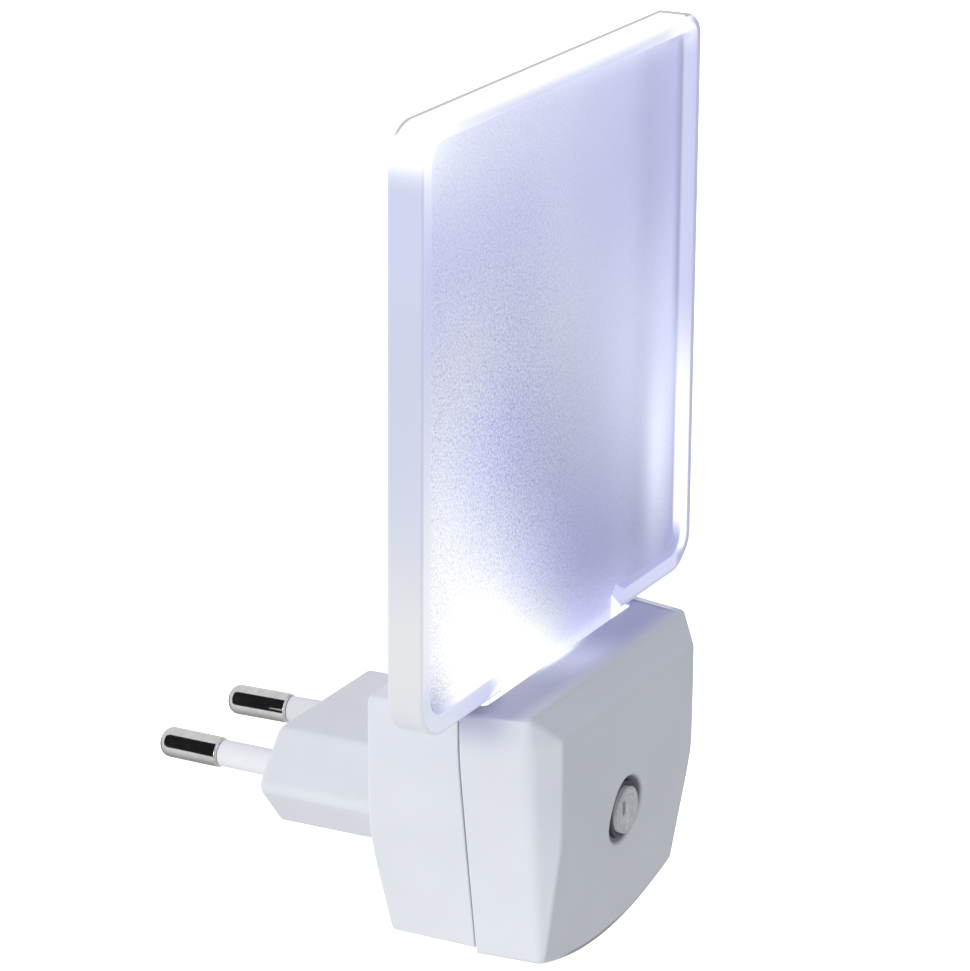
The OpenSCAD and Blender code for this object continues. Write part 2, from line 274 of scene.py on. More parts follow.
FRONT_0 = Outline(CASE_W, 13.0, CASE_WB, CASE_TOP, CASE_LOW, CASE_SAG, 0.8, 0.6, 3.0)
DRAFT = 0.24 * (SIDE_D - PART_D)
FRONT_1 = Outline(CASE_W - DRAFT, 13.0, 19.1, CASE_TOP, CASE_LOW, CASE_SAG, 0.8, 0.6, 3.0)
FACE = Outline(19.45, -3.0, 18.75, 15.0, -14.95, CASE_SAG, 0.5, 0.5, 2.0)
REAR_1 = Outline(24.85, 1.0, 19.5, CASE_TOP, -14.65, 3.1, 0.8, 0.35, 3.0)
REAR_0 = Outline(CASE_W - 0.15, 13.0, CASE_WB - 0.15, CASE_TOP - 0.05, CASE_LOW + 0.7, CASE_SAG, 0.8, 0.35, 3.0)


def face_depth(z):
    return FACE_D - 0.157 * smooth_max(0.8 - z, 1.2)


def back_depth(z):
    return BACK_D + 0.062 * (smooth_max(-4.0 - z, 3.0) - smooth_max(-4.0 - 18.5, 3.0))


def ring_angles(loop, cx=0.0, cz=0.0):
    return [math.atan2(z - cz, x - cx) for x, z in loop]


# ---------------------------------------------------------------------------
# Front shell
# ---------------------------------------------------------------------------
def slot_cutter(d0, d1, half_w, z0, z1, r):
    """A slot with round corners and a small chamfer at its mouth, open to +Z."""
    pts = []
    for cx, cd, a0 in ((half_w - r, d1 - r, 0), (-(half_w - r), d1 - r, 90), (-(half_w - r), d0 + r, 180), (half_w - r, d0 + r, 270)):
        for i in range(7):
            t = math.radians(a0 + 15 * i)
            pts.append((cx + r * math.cos(t), cd + r * math.sin(t), math.cos(t), math.sin(t)))
    rings = []
    for z, g in ((z0, 0), (z1 - 0.22, 0), (z1 + 0.02, 0.24), (z1 + 2.0, 0.24)):
        rings.append([V(x + g * nx, d + g * nd, z) for x, d, nx, nd in pts])
    return tidy(loft("cutter", rings, cap_start=True, cap_end=True))


def tube_along(x, z, d0, d1, r, steps=40):
    return tidy(lathe("tube", [(r, d0), (r, d1)], steps, lambda a, b, h: V(x + a, h, z + b), True, True))


def front_casing():
    o0, o1, of = FRONT_0.loop(), FRONT_1.loop(), FACE.loop()
    n = len(o0)
    ang = ring_angles(of, 0.0, SENS_Z)
    i0 = FRONT_0.loop(WALL)
    il0, il1 = FRONT_0.loop(1.1), FRONT_0.loop(WALL)
    i1 = FRONT_1.loop(WALL)
    fi = FACE.loop(1.2)
    rec = [(5.15, 0.0), (4.95, 0.025), (4.75, 0.10), (4.56, 0.24), (4.38, 0.44), (4.2, 0.68), (4.03, 0.92), (3.86, 1.15), (3.74, 1.3), (3.7, 1.42), (3.7, 2.55)]
    cols = []
    for i in range(n):
        x0, z0 = o0[i]
        x1, z1 = o1[i]
        xf, zf = of[i]
        A = V(x0, PART_D + 0.15, z0)
        B = V(x1, SIDE_D, z1)
        C = V(xf, face_depth(zf), zf)
        # towards the sensor, along the face
        dx, dz = math.cos(ang[i]), math.sin(ang[i])
        xi, zi = xf - dx * 2.2, zf - dz * 2.2
        D = V(xi, face_depth(zi), zi)
        # soft side edge, crisper face edge, softer along the top
        k = min(i, n - i)
        topness = 1 - smoothstep(N_TOP + N_COR - 2, N_TOP + N_COR + 5, k)
        low = 1 - smoothstep(-14.0, -8.0, zf)
        db = 1.25 - 0.8 * topness - 0.75 * low
        dc = 0.42 + 0.15 * topness - 0.12 * low
        # rim: inner lip, flat, small outer radius
        xl, zl = il0[i]
        xm, zm = il1[i]
        rim_in = (Vector((xl - x0, 0, zl - z0)))
        rim_in.normalize()
        path = [V(xm, PART_D - 1.6, zm), V(xl, PART_D - 1.6, zl) - rim_in * -0.25, V(xl, PART_D - 1.35, zl), V(xl, PART_D + 0.15, zl)]
        lead = A + rim_in * 0.3
        body = round_path([lead, A, B, C, D], [0, 0.25, db, dc, 0], [0, 4, 7, 6, 0])
        path += body
        # rings across the face to the sensor recess
        for q in (0.16, 0.34, 0.52, 0.68, 0.82, 0.93):
            cx, cz = 5.15 * dx, SENS_Z + 5.15 * dz
            px, pz = xi + (cx - xi) * q, zi + (cz - zi) * q
            path.append(V(px, face_depth(pz), pz))
        for r, depth in rec:
            px, pz = r * dx, SENS_Z + r * dz
            k = smoothstep(0.2, 1.4, depth)
            path.append(V(px, (face_depth(pz) - depth) * (1 - k) + (FACE_D - depth) * k, pz))
        # back of the front wall
        for r in (3.9, 5.1):
            path.append(V(r * dx, FACE_D - 2.6, SENS_Z + r * dz))
        path.append(V(5.1 * dx, FACE_D - WALL, SENS_Z + 5.1 * dz))
        xg, zg = fi[i]
        for q in (0.5, 1.0):
            cx, cz = 5.1 * dx, SENS_Z + 5.1 * dz
            px, pz = cx + (xg - cx) * q, cz + (zg - cz) * q
            path.append(V(px, face_depth(pz) - WALL, pz))
        xj, zj = i1[i]
        path.append(V(xj, SIDE_D - 0.6, zj))
        cols.append(path)
    m = len(cols[0])
    rings = [[cols[i][j] for i in range(n)] for j in range(m)]
    ob = tidy(loft("front_shell", rings, closed_v=True))
    # bosses for the casing screws, posts for the board
    for s in (-1, 1):
        boolean(ob, tube_along(s * 13.5, 13.2, 28.6, 42.7, 2.3), "UNION")
        boolean(ob, tube_along(s * 13.0, 5.8, 38.82, 42.9, 2.0), "UNION")
        boolean(ob, tube_along(s * 13.5, 13.2, 28.0, 37.2, 1.42))
        boolean(ob, tube_along(s * 13.0, 5.8, 37.0, 41.6, 0.92))
    boolean(ob, slot_cutter(29.0, 34.3, 21.0, 16.15, CASE_TOP, 0.6))
    return finished(ob, "front_shell", 30)


# ---------------------------------------------------------------------------
# Rear shell
# ---------------------------------------------------------------------------
def hex_loop(w, f, t, r, n_arc=8, n_edge=7):
    """Rounded hexagonal outline of the plug body, as (x, z, normal x, normal z)."""
    c = [(w / 2, 0), (f / 2, -t / 2), (-f / 2, -t / 2), (-w / 2, 0), (-f / 2, t / 2), (f / 2, t / 2)]
    c = [Vector(p) for p in c]
    out = []
    for k in range(6):
        a, b, d = c[k - 1], c[k], c[(k + 1) % 6]
        u, v = (a - b).normalized(), (d - b).normalized()
        half = math.acos(max(-1, min(1, u.dot(v)))) / 2
        tl = r / math.tan(half)
        out += arc(b + u * tl, b, b + v * tl, n_arc)
        e0 = b + v * tl
        an, ad = c[(k + 1) % 6], c[(k + 2) % 6]
        un, vn = (b - an).normalized(), (ad - an).normalized()
        hn = math.acos(max(-1, min(1, un.dot(vn)))) / 2
        e1 = an + un * (r / math.tan(hn))
        out += [e0 + (e1 - e0) * (i / n_edge) for i in range(1, n_edge)]
    return [(p.x, p.y) for p in out]


def ray_hit(loop, ang):
    dx, dz = math.cos(ang), math.sin(ang)
    best = None
    m = len(loop)
    for i in range(m):
        x0, z0 = loop[i]
        x1, z1 = loop[(i + 1) % m]
        ex, ez = x1 - x0, z1 - z0
        den = dx * ez - dz * ex
        if abs(den) < 1e-12:
            continue
        t = (x0 * ez - z0 * ex) / den
        u = (x0 * dz - z0 * dx) / den
        if t > 0 and -1e-9 <= u <= 1 + 1e-9:
            best = t if best is None else min(best, t)
    return best


def rear_casing():
    o0, o1 = REAR_0.loop(), REAR_1.loop()
    n = len(o0)
    il0, il1 = REAR_0.loop(0.85), REAR_0.loop(WALL - 0.15)
    i1 = REAR_1.loop(WALL)
    hole = hex_loop(PLUG_W + 0.2, PLUG_FLAT + 0.12, PLUG_T + 0.2, 1.65)
    ang = ring_angles(o1)
    cols = []
    for i in range(n):
        x0, z0 = o0[i]
        x1, z1 = o1[i]
        xl, zl = il0[i]
        xm, zm = il1[i]
        rim_in = Vector((xl - x0, 0, zl - z0)).normalized()
        h = ray_hit(hole, ang[i])
        dx, dz = math.cos(ang[i]), math.sin(ang[i])
        hx, hz = dx * h, dz * h
        A = V(x0, PART_D - 0.15, z0)
        E = V(x1, back_depth(z1), z1)
        xi, zi = x1 * 0.9, z1 * 0.9
        D = V(xi, back_depth(zi), zi)
        path = [V(xm, PART_D - 1.75, zm), V(xl, PART_D - 1.75, zl), V(xl, PART_D - 0.15, zl)]
        low = 1 - smoothstep(-14.0, -6.0, z1)
        path += round_path([A + rim_in * 0.3, A, E, D], [0, 0.25, 0.5 - 0.15 * low, 0], [0, 4, 8, 0])
        for q in (0.3, 0.6, 0.85):
            px, pz = xi + (hx - xi) * q, zi + (hz - zi) * q
            path.append(V(px, back_depth(pz), pz))
        # small radius at the mouth of the aperture
        path.append(V(hx + dx * 0.22, back_depth(hz), hz + dz * 0.22))
        path.append(V(hx + dx * 0.07, back_depth(hz) + 0.06, hz + dz * 0.07))
        path.append(V(hx, back_depth(hz) + 0.22, hz))
        path.append(V(hx, PLUG_LEN + WALL, hz))
        xj, zj = i1[i]
        path.append(V((hx + xj) / 2, PLUG_LEN + WALL + 0.1, (hz + zj) / 2))
        path.append(V(xj, back_depth(zj) + WALL, zj))
        cols.append(path)
    rings = [[cols[i][j] for i in range(n)] for j in range(len(cols[0]))]
    ob = tidy(loft("rear_shell", rings, closed_v=True))
    for s in (-1, 1):
        boolean(ob, tube_along(s * 13.5, 13.0, 21.2, 28.4, 3.6), "UNION")
        # counterbore with a softened mouth, and the clearance hole
        cut = tidy(lathe("cutter", [(3.3, BACK_D - 1.5), (3.02, BACK_D - 0.06), (2.8, BACK_D + 0.22), (2.75, BACK_D + 0.45), (2.75, 24.6), (1.6, 24.6), (1.6, 29.0)],
                         40, lambda a, b, h, s=s: V(s * 13.5 + a, h, 13.2 + b), True, True))
        boolean(ob, cut)
    boolean(ob, slot_cutter(29.85, 34.0, 21.0, 16.15, CASE_TOP - 0.05, 0.6))
    return finished(ob, "rear_shell", 30)


# ---------------------------------------------------------------------------
# Plug body, pins and sleeves
# ---------------------------------------------------------------------------
def pin_place(side):
    sx = side * PITCH / 2
    ax = Vector((-side * math.sin(LEAN), math.cos(LEAN), 0))
    ux = Vector((math.cos(LEAN), side * math.sin(LEAN), 0))
    uz = Vector((0, 0, 1))
    return lambda a, b, h: Vector((sx, 0, 0)) + ux * a + uz * b + ax * h


def plug_body():
    def ring(g, d):
        return [V(x, d, z) for x, z in hex_loop(PLUG_W + 2 * g, PLUG_FLAT + 1.2 * g, PLUG_T + 2 * g, 1.6 + g * 0.4)]

    rings = []
    # engagement face with a soft edge
    for k in range(7):
        t = math.radians(90 * k / 6)
        rings.append(ring(-0.75 * (1 - math.sin(t)), 0.75 * (1 - math.cos(t))))
    for d in (4.0, 12.0, 20.0, 22.8):
        rings.append(ring(0, d))
    rings += [ring(1.6, 22.8), ring(1.6, 24.1), ring(1.3, 24.4)]
    ob = tidy(loft("plug", rings, cap_start=True, cap_end=True))
    for s in (-1, 1):
        pl = pin_place(s)
        cut = tidy(lathe("cutter", [(2.62, 1.0), (2.38, -0.12), (2.3, -0.4), (1.83, -0.4), (1.83, -4.0), (1.53, -4.0), (1.53, -26.0)],
                         40, pl, True, True))
        boolean(ob, cut)
    return finished(ob, "plug_moulding", 30)


def pin(side):
    z1 = PIN_LEN - PIN_BARE
    prof = [(0, -26.2), (0.9, -26.2), (0.9, -25.4), (1.42, -25.4), (1.5, -25.3), (1.5, z1 - 0.02)]
    # shoulder: a short chamfer, then the bare end
    prof += [(PIN_R - 0.22, z1), (PIN_R - 0.18, z1 + 0.02), (PIN_R - 0.03, z1 + 0.2), (PIN_R, z1 + 0.27), (PIN_R, z1 + 3.0), (PIN_R, PIN_LEN - 1.7)]
    for i in range(1, 15):
        t = math.radians(90 * i / 14)
        prof.append((PIN_R - 1.35 + 1.35 * math.cos(t), PIN_LEN - 1.35 + 1.35 * math.sin(t) - 0.0))
    prof.append((0, PIN_LEN))
    ob = tidy(lathe("pin", prof, 64, pin_place(side)))
    return finished(ob, "pin_metal_left" if side < 0 else "pin_metal_right", 34)


def sleeve(side):
    z1 = PIN_LEN - PIN_BARE
    out = [(1.53, -3.95), (SLEEVE_R, -3.95), (SLEEVE_R, 0.0), (SLEEVE_R - 0.005, 4.0), (SLEEVE_R - 0.03, z1 - 0.35)]
    for i in range(1, 6):
        t = math.radians(90 * i / 5)
        out.append((SLEEVE_R - 0.03 - 0.16 * (1 - math.cos(t)), z1 - 0.35 + 0.28 * math.sin(t)))
    out.append((1.53, z1 - 0.06))
    ob = tidy(lathe("sleeve", out, 56, pin_place(side), closed=True))
    return finished(ob, "pin_sleeve_left" if side < 0 else "pin_sleeve_right", 40)


# ---------------------------------------------------------------------------
# Light panel: shallow tray with a raised rim that is broken above the tongue
# ---------------------------------------------------------------------------
def panel_ring(ins, d):
    """Rounded rectangle moved inwards by ins, with fixed columns."""
    r = max(5.0 - 0.75 * ins, 2.8)
    # the right and lower front edges are crisper, and the top right corner tighter
    crisp = 0.3 * ins if ins <= 0.6 and d > 33 else ins
    w, z0, z1 = PAN_W - ins, PAN_Z0 + crisp, PAN_Z1 - ins
    wr = PAN_W - crisp
    rc = max(PAN_R2 - 0.6 * ins, 1.5)
    xb = [w - r, 29.0, 25.0, 21.5, 18.0, 14.0, 10.0, 5.0]
    bottom = xb + [0.0] + [-x for x in reversed(xb)]
    pts = []
    for x in bottom:
        pts.append((x, z0))
    for i in range(1, 12):
        t = math.radians(270 - 90 * i / 12)
        pts.append((-(w - r) + r * math.cos(t), z0 + r + r * math.sin(t)))
    for i in range(13):
        pts.append((-w, z0 + r + (z1 - z0 - 2 * r) * i / 12))
    for i in range(1, 12):
        t = math.radians(180 - 90 * i / 12)
        pts.append((-(w - r) + r * math.cos(t), z1 - r + r * math.sin(t)))
    for i in range(13):
        pts.append((-(w - r) + (w + wr - r - rc) * i / 12, z1))
    for i in range(1, 12):
        t = math.radians(90 - 90 * i / 12)
        pts.append(((wr - rc) + rc * math.cos(t), z1 - rc + rc * math.sin(t)))
    for i in range(13):
        pts.append((wr, z1 - rc - (z1 - z0 - rc - r) * i / 12))
    for i in range(1, 12):
        t = math.radians(0 - 90 * i / 12)
        pts.append(((wr - r) + r * math.cos(t), z0 + r + r * math.sin(t)))
    swell = lambda x: 0.2 * smoothstep(36.5, 38.0, x) * smoothstep(33.4, PAN_F, d)
    return [V(x, d + swell(x), z) for x, z in pts]


def light_panel():
    prof = []

    def fillet(i0, d0, i1, d1, i2, d2, n):
        for p in arc(Vector((i0, d0)), Vector((i1, d1)), Vector((i2, d2)), n):
            prof.append((p.x, p.y))

    prof.append((6.0, PAN_B))
    fillet(0.55, PAN_B, 0, PAN_B, 0, PAN_B + 0.55, 6)
    prof.append((0, 32.0))
    fillet(0, PAN_F - 0.6, 0, PAN_F, 0.6, PAN_F, 7)
    fillet(1.75, PAN_F, 2.28, PAN_F, 2.32, PAN_F - 0.45, 6)
    fillet(2.42, FLOOR_D + 0.6, 2.48, FLOOR_D, 3.1, FLOOR_D, 6)
    prof.append((4.2, FLOOR_D))
    rings = [panel_ring(i, d) for i, d in prof]
    ob = tidy(loft("panel", rings, cap_start=True, cap_end=True))
    # the rim is open above the tongue, with ends that lean back
    edge = [(BREAK_X - 0.95, 18.6), (BREAK_X - 0.95, 20.1), (BREAK_X - 0.75, 20.9), (BREAK_X - 0.3, 21.5), (BREAK_X + 0.6, 22.3)]
    side = edge + [(-x, z) for x, z in reversed(edge)]
    boolean(ob, tidy(loft("break", [[V(x, d, z) for x, z in side] for d in (FLOOR_D + 0.004, PAN_F + 0.5)], cap_start=True, cap_end=True)))
    # tongue with soft corners, and the holes that the bosses pass through
    tr = []
    for z, g, w in ((9.5, -0.25, 0), (9.75, 0.0, 0), (14.0, 0.0, 0), (16.4, 0.0, 0), (16.45, 0.0, 2.9), (21.0, 0.0, 2.9)):
        e = TONGUE_X + g + w
        tr.append([V(x, d, z) for x, d in ((e, 29.95 - g), (e, 33.19 + g), (-e, 33.19 + g), (-e, 29.95 - g))])
    boolean(ob, tidy(loft("tongue", tr, cap_start=True, cap_end=True)), "UNION")
    for s in (-1, 1):
        boolean(ob, tube_along(s * 13.5, 13.2, 29.0, 34.0, 2.45))
    return finished(ob, "frosted_light_panel", 34)


# ---------------------------------------------------------------------------
# Sensor
# ---------------------------------------------------------------------------
def sensor_place(a, b, h):
    return V(a, h, SENS_Z + b)


def sensor_lens():
    prof = [(0, 40.9), (3.7, 40.9), (3.82, 41.0), (3.82, 41.45), (3.72, 41.55), (3.07, 41.55), (3.07, 43.95)]
    for i in range(1, 6):
        t = math.radians(90 * i / 5)
        prof.append((2.88 + 0.19 * math.cos(t), 43.95 + 0.19 * math.sin(t)))
    # shallow turned steps that draw the concentric rings
    for r0, r1, h in ((2.5, 2.3, 44.15), (1.85, 1.6, 44.165), (1.05, 0.85, 44.18)):
        prof += [(r0 + 0.05, h), (r0 - 0.03, h - 0.035), (r1 + 0.03, h - 0.035), (r1 - 0.05, h + 0.005)]
    prof += [(0.4, 44.19), (0, 44.19)]
    ob = tidy(lathe("lens", prof, 64, sensor_place))
    return finished(ob, "sensor_window", 40)


def sensor_ring():
    prof = [(3.1, 41.6), (3.66, 41.6), (3.66, 42.75), (3.7, 43.1), (3.66, 43.36), (3.5, 43.5), (3.28, 43.48), (3.12, 43.34)]
    ob = tidy(lathe("ring", prof, 64, sensor_place, closed=True))
    return finished(ob, "sensor_seal", 40)


def photocell():
    """Ceramic disc with a printed meander track and a bar between its two halves."""
    prof = [(0, 39.2), (2.3, 39.2), (2.5, 39.4), (2.5, 40.35), (2.4, 40.48), (2.2, 40.52), (0, 40.52)]
    ob = tidy(lathe("cell", prof, 48, sensor_place))
    bm = bmesh.new()
    bm.from_mesh(ob.data)

    def slab(x0, x1, z0, z1, d0, d1, mat):
        vs = [bm.verts.new(V(x, d, SENS_Z + z)) for d in (d0, d1) for x, z in ((x0, z0), (x1, z0), (x1, z1), (x0, z1))]
        for f in ((0, 1, 2, 3), (4, 5, 6, 7), (0, 1, 5, 4), (1, 2, 6, 5), (2, 3, 7, 6), (3, 0, 4, 7)):
            bm.faces.new([vs[k] for k in f]).material_index = mat

    xs = [-1.35, -0.9, -0.45, 0.0, 0.45, 0.9, 1.35]
    for k, x in enumerate(xs):
        h = 1.45 if abs(x) < 1.2 else 1.15
        slab(x - 0.08, x + 0.08, -h, h, 40.5, 40.6, 1)
        if k:
            zz = h if k % 2 else -h
            hh = 1.15 if (k == 1 or k == len(xs) - 1) else 1.45
            slab(xs[k - 1] - 0.08, x + 0.08, math.copysign(hh, zz) - 0.08, math.copysign(hh, zz) + 0.08, 40.5, 40.6, 1)
    slab(-1.02, -0.7, -0.25, 1.0, 40.5, 40.68, 2)
    for s in (-1, 1):
        # legs down to the board
        ring0, ring1 = [], []
        for i in range(12):
            t = 2 * math.pi * i / 12
            ring0.append(bm.verts.new(V(s * 1.7 + 0.3 * math.cos(t), 38.81, SENS_Z + 0.3 * math.sin(t))))
            ring1.append(bm.verts.new(V(s * 1.7 + 0.3 * math.cos(t), 39.25, SENS_Z + 0.3 * math.sin(t))))
        for i in range(12):
            k = (i + 1) % 12
            bm.faces.new((ring0[i], ring0[k], ring1[k], ring1[i])).material_index = 3
        bm.faces.new(ring0).material_index = 3
        bm.faces.new(ring1).material_index = 3
    bmesh.ops.recalc_face_normals(bm, faces=bm.faces)
    bm.to_mesh(ob.data)
    bm.free()
    return finished(ob, "light_dependent_resistor", 40, weighted=False)


# ---------------------------------------------------------------------------
# Screws with a pan head, a cross recess and a cut thread
# ---------------------------------------------------------------------------
def screw(name, x, z, d_head, head_h, head_r, d_end, core_r, out_r, pitch, cross):
    place = lambda a, b, h: V(x + a, h, z + b)
    d1 = d_head + head_h
    steps = 28
    prof = [(0, d_head)]
    for i in range(1, 8):
        t = math.radians(90 * i / 7)
        prof.append((head_r * math.sin(t), d_head + 0.55 * head_h * (1 - math.cos(t))))
    prof += [(head_r, d1 - 0.12), (head_r - 0.1, d1), (core_r, d1)]
    head = lathe("head", prof, steps, place)
    bm = bmesh.new()
    bm.from_mesh(head.data)
    bm.verts.ensure_lookup_table()
    prev = list(bm.verts)[-steps:]
    per = 10
    length = d_end - d1
    turns = length / pitch
    rows = int(turns * per)
    for j in range(1, rows + 1):
        h = d1 + length * j / rows
        taper = smoothstep(0, 1.6, d_end - h)
        row = []
        for i in range(steps):
            t = 2 * math.pi * i / steps
            ph = ((h - d1) / pitch - i / steps) % 1.0
            tri = max(0.0, 1 - abs(ph - 0.5) / 0.3)
            grow = smoothstep(0.0, pitch, h - d1)
            r = (core_r + (out_r - core_r) * tri * grow) * (0.25 + 0.75 * taper)
            row.append(bm.verts.new(place(r * math.cos(t), r * math.sin(t), h)))
        for i in range(steps):
            k = (i + 1) % steps
            bm.faces.new((prev[i], prev[k], row[k], row[i]))
        prev = row
    bm.faces.new(prev)
    bm.to_mesh(head.data)
    bm.free()
    tidy(head)
    for turned in (0, 1):
        w0, w1, dep = cross * 0.5, cross * 0.18, head_h * 0.62
        th = 0.16 * cross
        rings = []
        for d, hw in ((d_head - 0.5, w0 * 1.15), (d_head + dep * 0.2, w0), (d_head + dep, w1)):
            box = [(hw, th), (hw, -th), (-hw, -th), (-hw, th)]
            rings.append([V(x + (b if turned else a), d, z + (a if turned else b)) for a, b in box])
        boolean(head, tidy(loft("cross", rings, cap_start=True, cap_end=True)))
    return head


def joined(obs, name, angle=35):
    bm = bmesh.new()
    for o in obs:
        bm.from_mesh(o.data)
    ob = new_object(name, [], [])
    bm.to_mesh(ob.data)
    bm.free()
    for o in obs:
        d = o.data
        bpy.data.objects.remove(o)
        bpy.data.meshes.remove(d)
    return finished(ob, name, angle)


# ---------------------------------------------------------------------------
# Material helpers
# ---------------------------------------------------------------------------
class Mat:
    """A small builder for node materials. Coordinates are the frame's, in millimetres."""

    def __init__(self, name):
        self.mat = bpy.data.materials.new(name)
        self.mat.use_nodes = True
        self.nt = self.mat.node_tree
        self.nt.nodes.clear()
        self.out = self.nt.nodes.new("ShaderNodeOutputMaterial")
        self.bsdf = self.nt.nodes.new("ShaderNodeBsdfPrincipled")
        self.nt.links.new(self.bsdf.outputs[0], self.out.inputs[0])
        self.coord = self.nt.nodes.new("ShaderNodeTexCoord").outputs["Object"]
        self._xyz = None

    def node(self, kind, **props):
        n = self.nt.nodes.new(kind)
        for k, v in props.items():
            setattr(n, k, v)
        return n

    def put(self, sock, value):
        if isinstance(value, bpy.types.NodeSocket):
            self.nt.links.new(value, sock)
        else:
            sock.default_value = value

    def math(self, op, a, b=0.0, c=0.0, clamp=False):
        n = self.node("ShaderNodeMath", operation=op, use_clamp=clamp)
        for s, v in zip(n.inputs, (a, b, c)):
            self.put(s, v)
        return n.outputs[0]

    def add(self, *xs):
        out = xs[0]
        for x in xs[1:]:
            out = self.math("ADD", out, x)
        return out

    def mul(self, *xs):
        out = xs[0]
        for x in xs[1:]:
            out = self.math("MULTIPLY", out, x)
        return out

    def xyz(self):
        if self._xyz is None:
            s = self.node("ShaderNodeSeparateXYZ")
            self.nt.links.new(self.coord, s.inputs[0])
            self._xyz = [self.math("MULTIPLY", o, 1000.0) for o in s.outputs]
        return self._xyz

    def gauss(self, a, ca, sa, b=None, cb=0.0, sb=1.0):
        """exp(-((a-ca)/sa)^2 - ((b-cb)/sb)^2)"""
        u = self.math("DIVIDE", self.math("SUBTRACT", a, ca), sa)
        q = self.mul(u, u)
        if b is not None:
            w = self.math("DIVIDE", self.math("SUBTRACT", b, cb), sb)
            q = self.add(q, self.mul(w, w))
        return self.math("EXPONENT", self.mul(q, -1.0))

    def ramp(self, v, lo, hi, to_lo=0.0, to_hi=1.0):
        n = self.node("ShaderNodeMapRange", interpolation_type="SMOOTHSTEP", clamp=True)
        self.put(n.inputs["Value"], v)
        n.inputs["From Min"].default_value = lo
        n.inputs["From Max"].default_value = hi
        n.inputs["To Min"].default_value = to_lo
        n.inputs["To Max"].default_value = to_hi
        return n.outputs[0]

    def noise(self, size_mm, detail=2.0, rough=0.5, vec=None, dist=0.0):
        n = self.node("ShaderNodeTexNoise")
        self.put(n.inputs["Vector"], vec if vec is not None else self.coord)
        n.inputs["Scale"].default_value = 1000.0 / size_mm
        n.inputs["Detail"].default_value = detail
        n.inputs["Roughness"].default_value = rough
        n.inputs["Distortion"].default_value = dist
        return n.outputs["Fac"]

    def voronoi(self, size_mm, feature="F1", rnd=1.0):
        n = self.node("ShaderNodeTexVoronoi", feature=feature)
        self.put(n.inputs["Vector"], self.coord)
        n.inputs["Scale"].default_value = 1000.0 / size_mm
        n.inputs["Randomness"].default_value = rnd
        return n.outputs["Distance"]

    def mix(self, fac, a, b, blend="MIX"):
        n = self.node("ShaderNodeMix", data_type="RGBA", blend_type=blend)
        self.put(n.inputs[0], fac)
        for s, v in ((n.inputs[6], a), (n.inputs[7], b)):
            self.put(s, v if isinstance(v, bpy.types.NodeSocket) else (*v, 1.0))
        return n.outputs[2]

    def rgb(self, r, g, b):
        n = self.node("ShaderNodeCombineColor")
        for s, v in zip(n.inputs, (r, g, b)):
            self.put(s, v)
        return n.outputs[0]

    def bump(self, height, mm, strength=1.0, normal=None):
        n = self.node("ShaderNodeBump")
        self.put(n.inputs["Height"], height)
        n.inputs["Distance"].default_value = mm * 0.001
        n.inputs["Strength"].default_value = strength
        if normal is not None:
            self.nt.links.new(normal, n.inputs["Normal"])
        return n.outputs[0]

    def set(self, **kw):
        names = {"base": "Base Color", "rough": "Roughness", "metal": "Metallic", "ior": "IOR", "normal": "Normal",
                 "coat": "Coat Weight", "coat_rough": "Coat Roughness", "trans": "Transmission Weight",
                 "emit": "Emission Color", "power": "Emission Strength", "spec": "Specular IOR Level",
                 "sss": "Subsurface Weight", "sss_scale": "Subsurface Scale", "aniso": "Anisotropic", "alpha": "Alpha"}
        for k, v in kw.items():
            s = self.bsdf.inputs[names[k]]
            if k in ("base", "emit") and not isinstance(v, bpy.types.NodeSocket):
                v = (*v, 1.0)
            self.put(s, v)
        return self


def plastic(name, col, rough, grain_mm, grain_h, tint=0.02, coat=0.0, rvar=0.06):
    m = Mat(name)
    big = m.noise(9.0, 3, 0.5)
    fine = m.noise(grain_mm, 3, 0.6)
    dark = tuple(c * (1 - tint) for c in col)
    light = tuple(min(1, c * (1 + tint)) for c in col)
    m.set(base=m.mix(m.ramp(big, 0.3, 0.7), dark, light),
          rough=m.add(m.mul(fine, rvar), m.mul(m.noise(3.0, 2), rvar * 0.6), rough - rvar * 0.8),
          normal=m.bump(fine, grain_h), coat=coat, spec=0.5)
    return m.mat


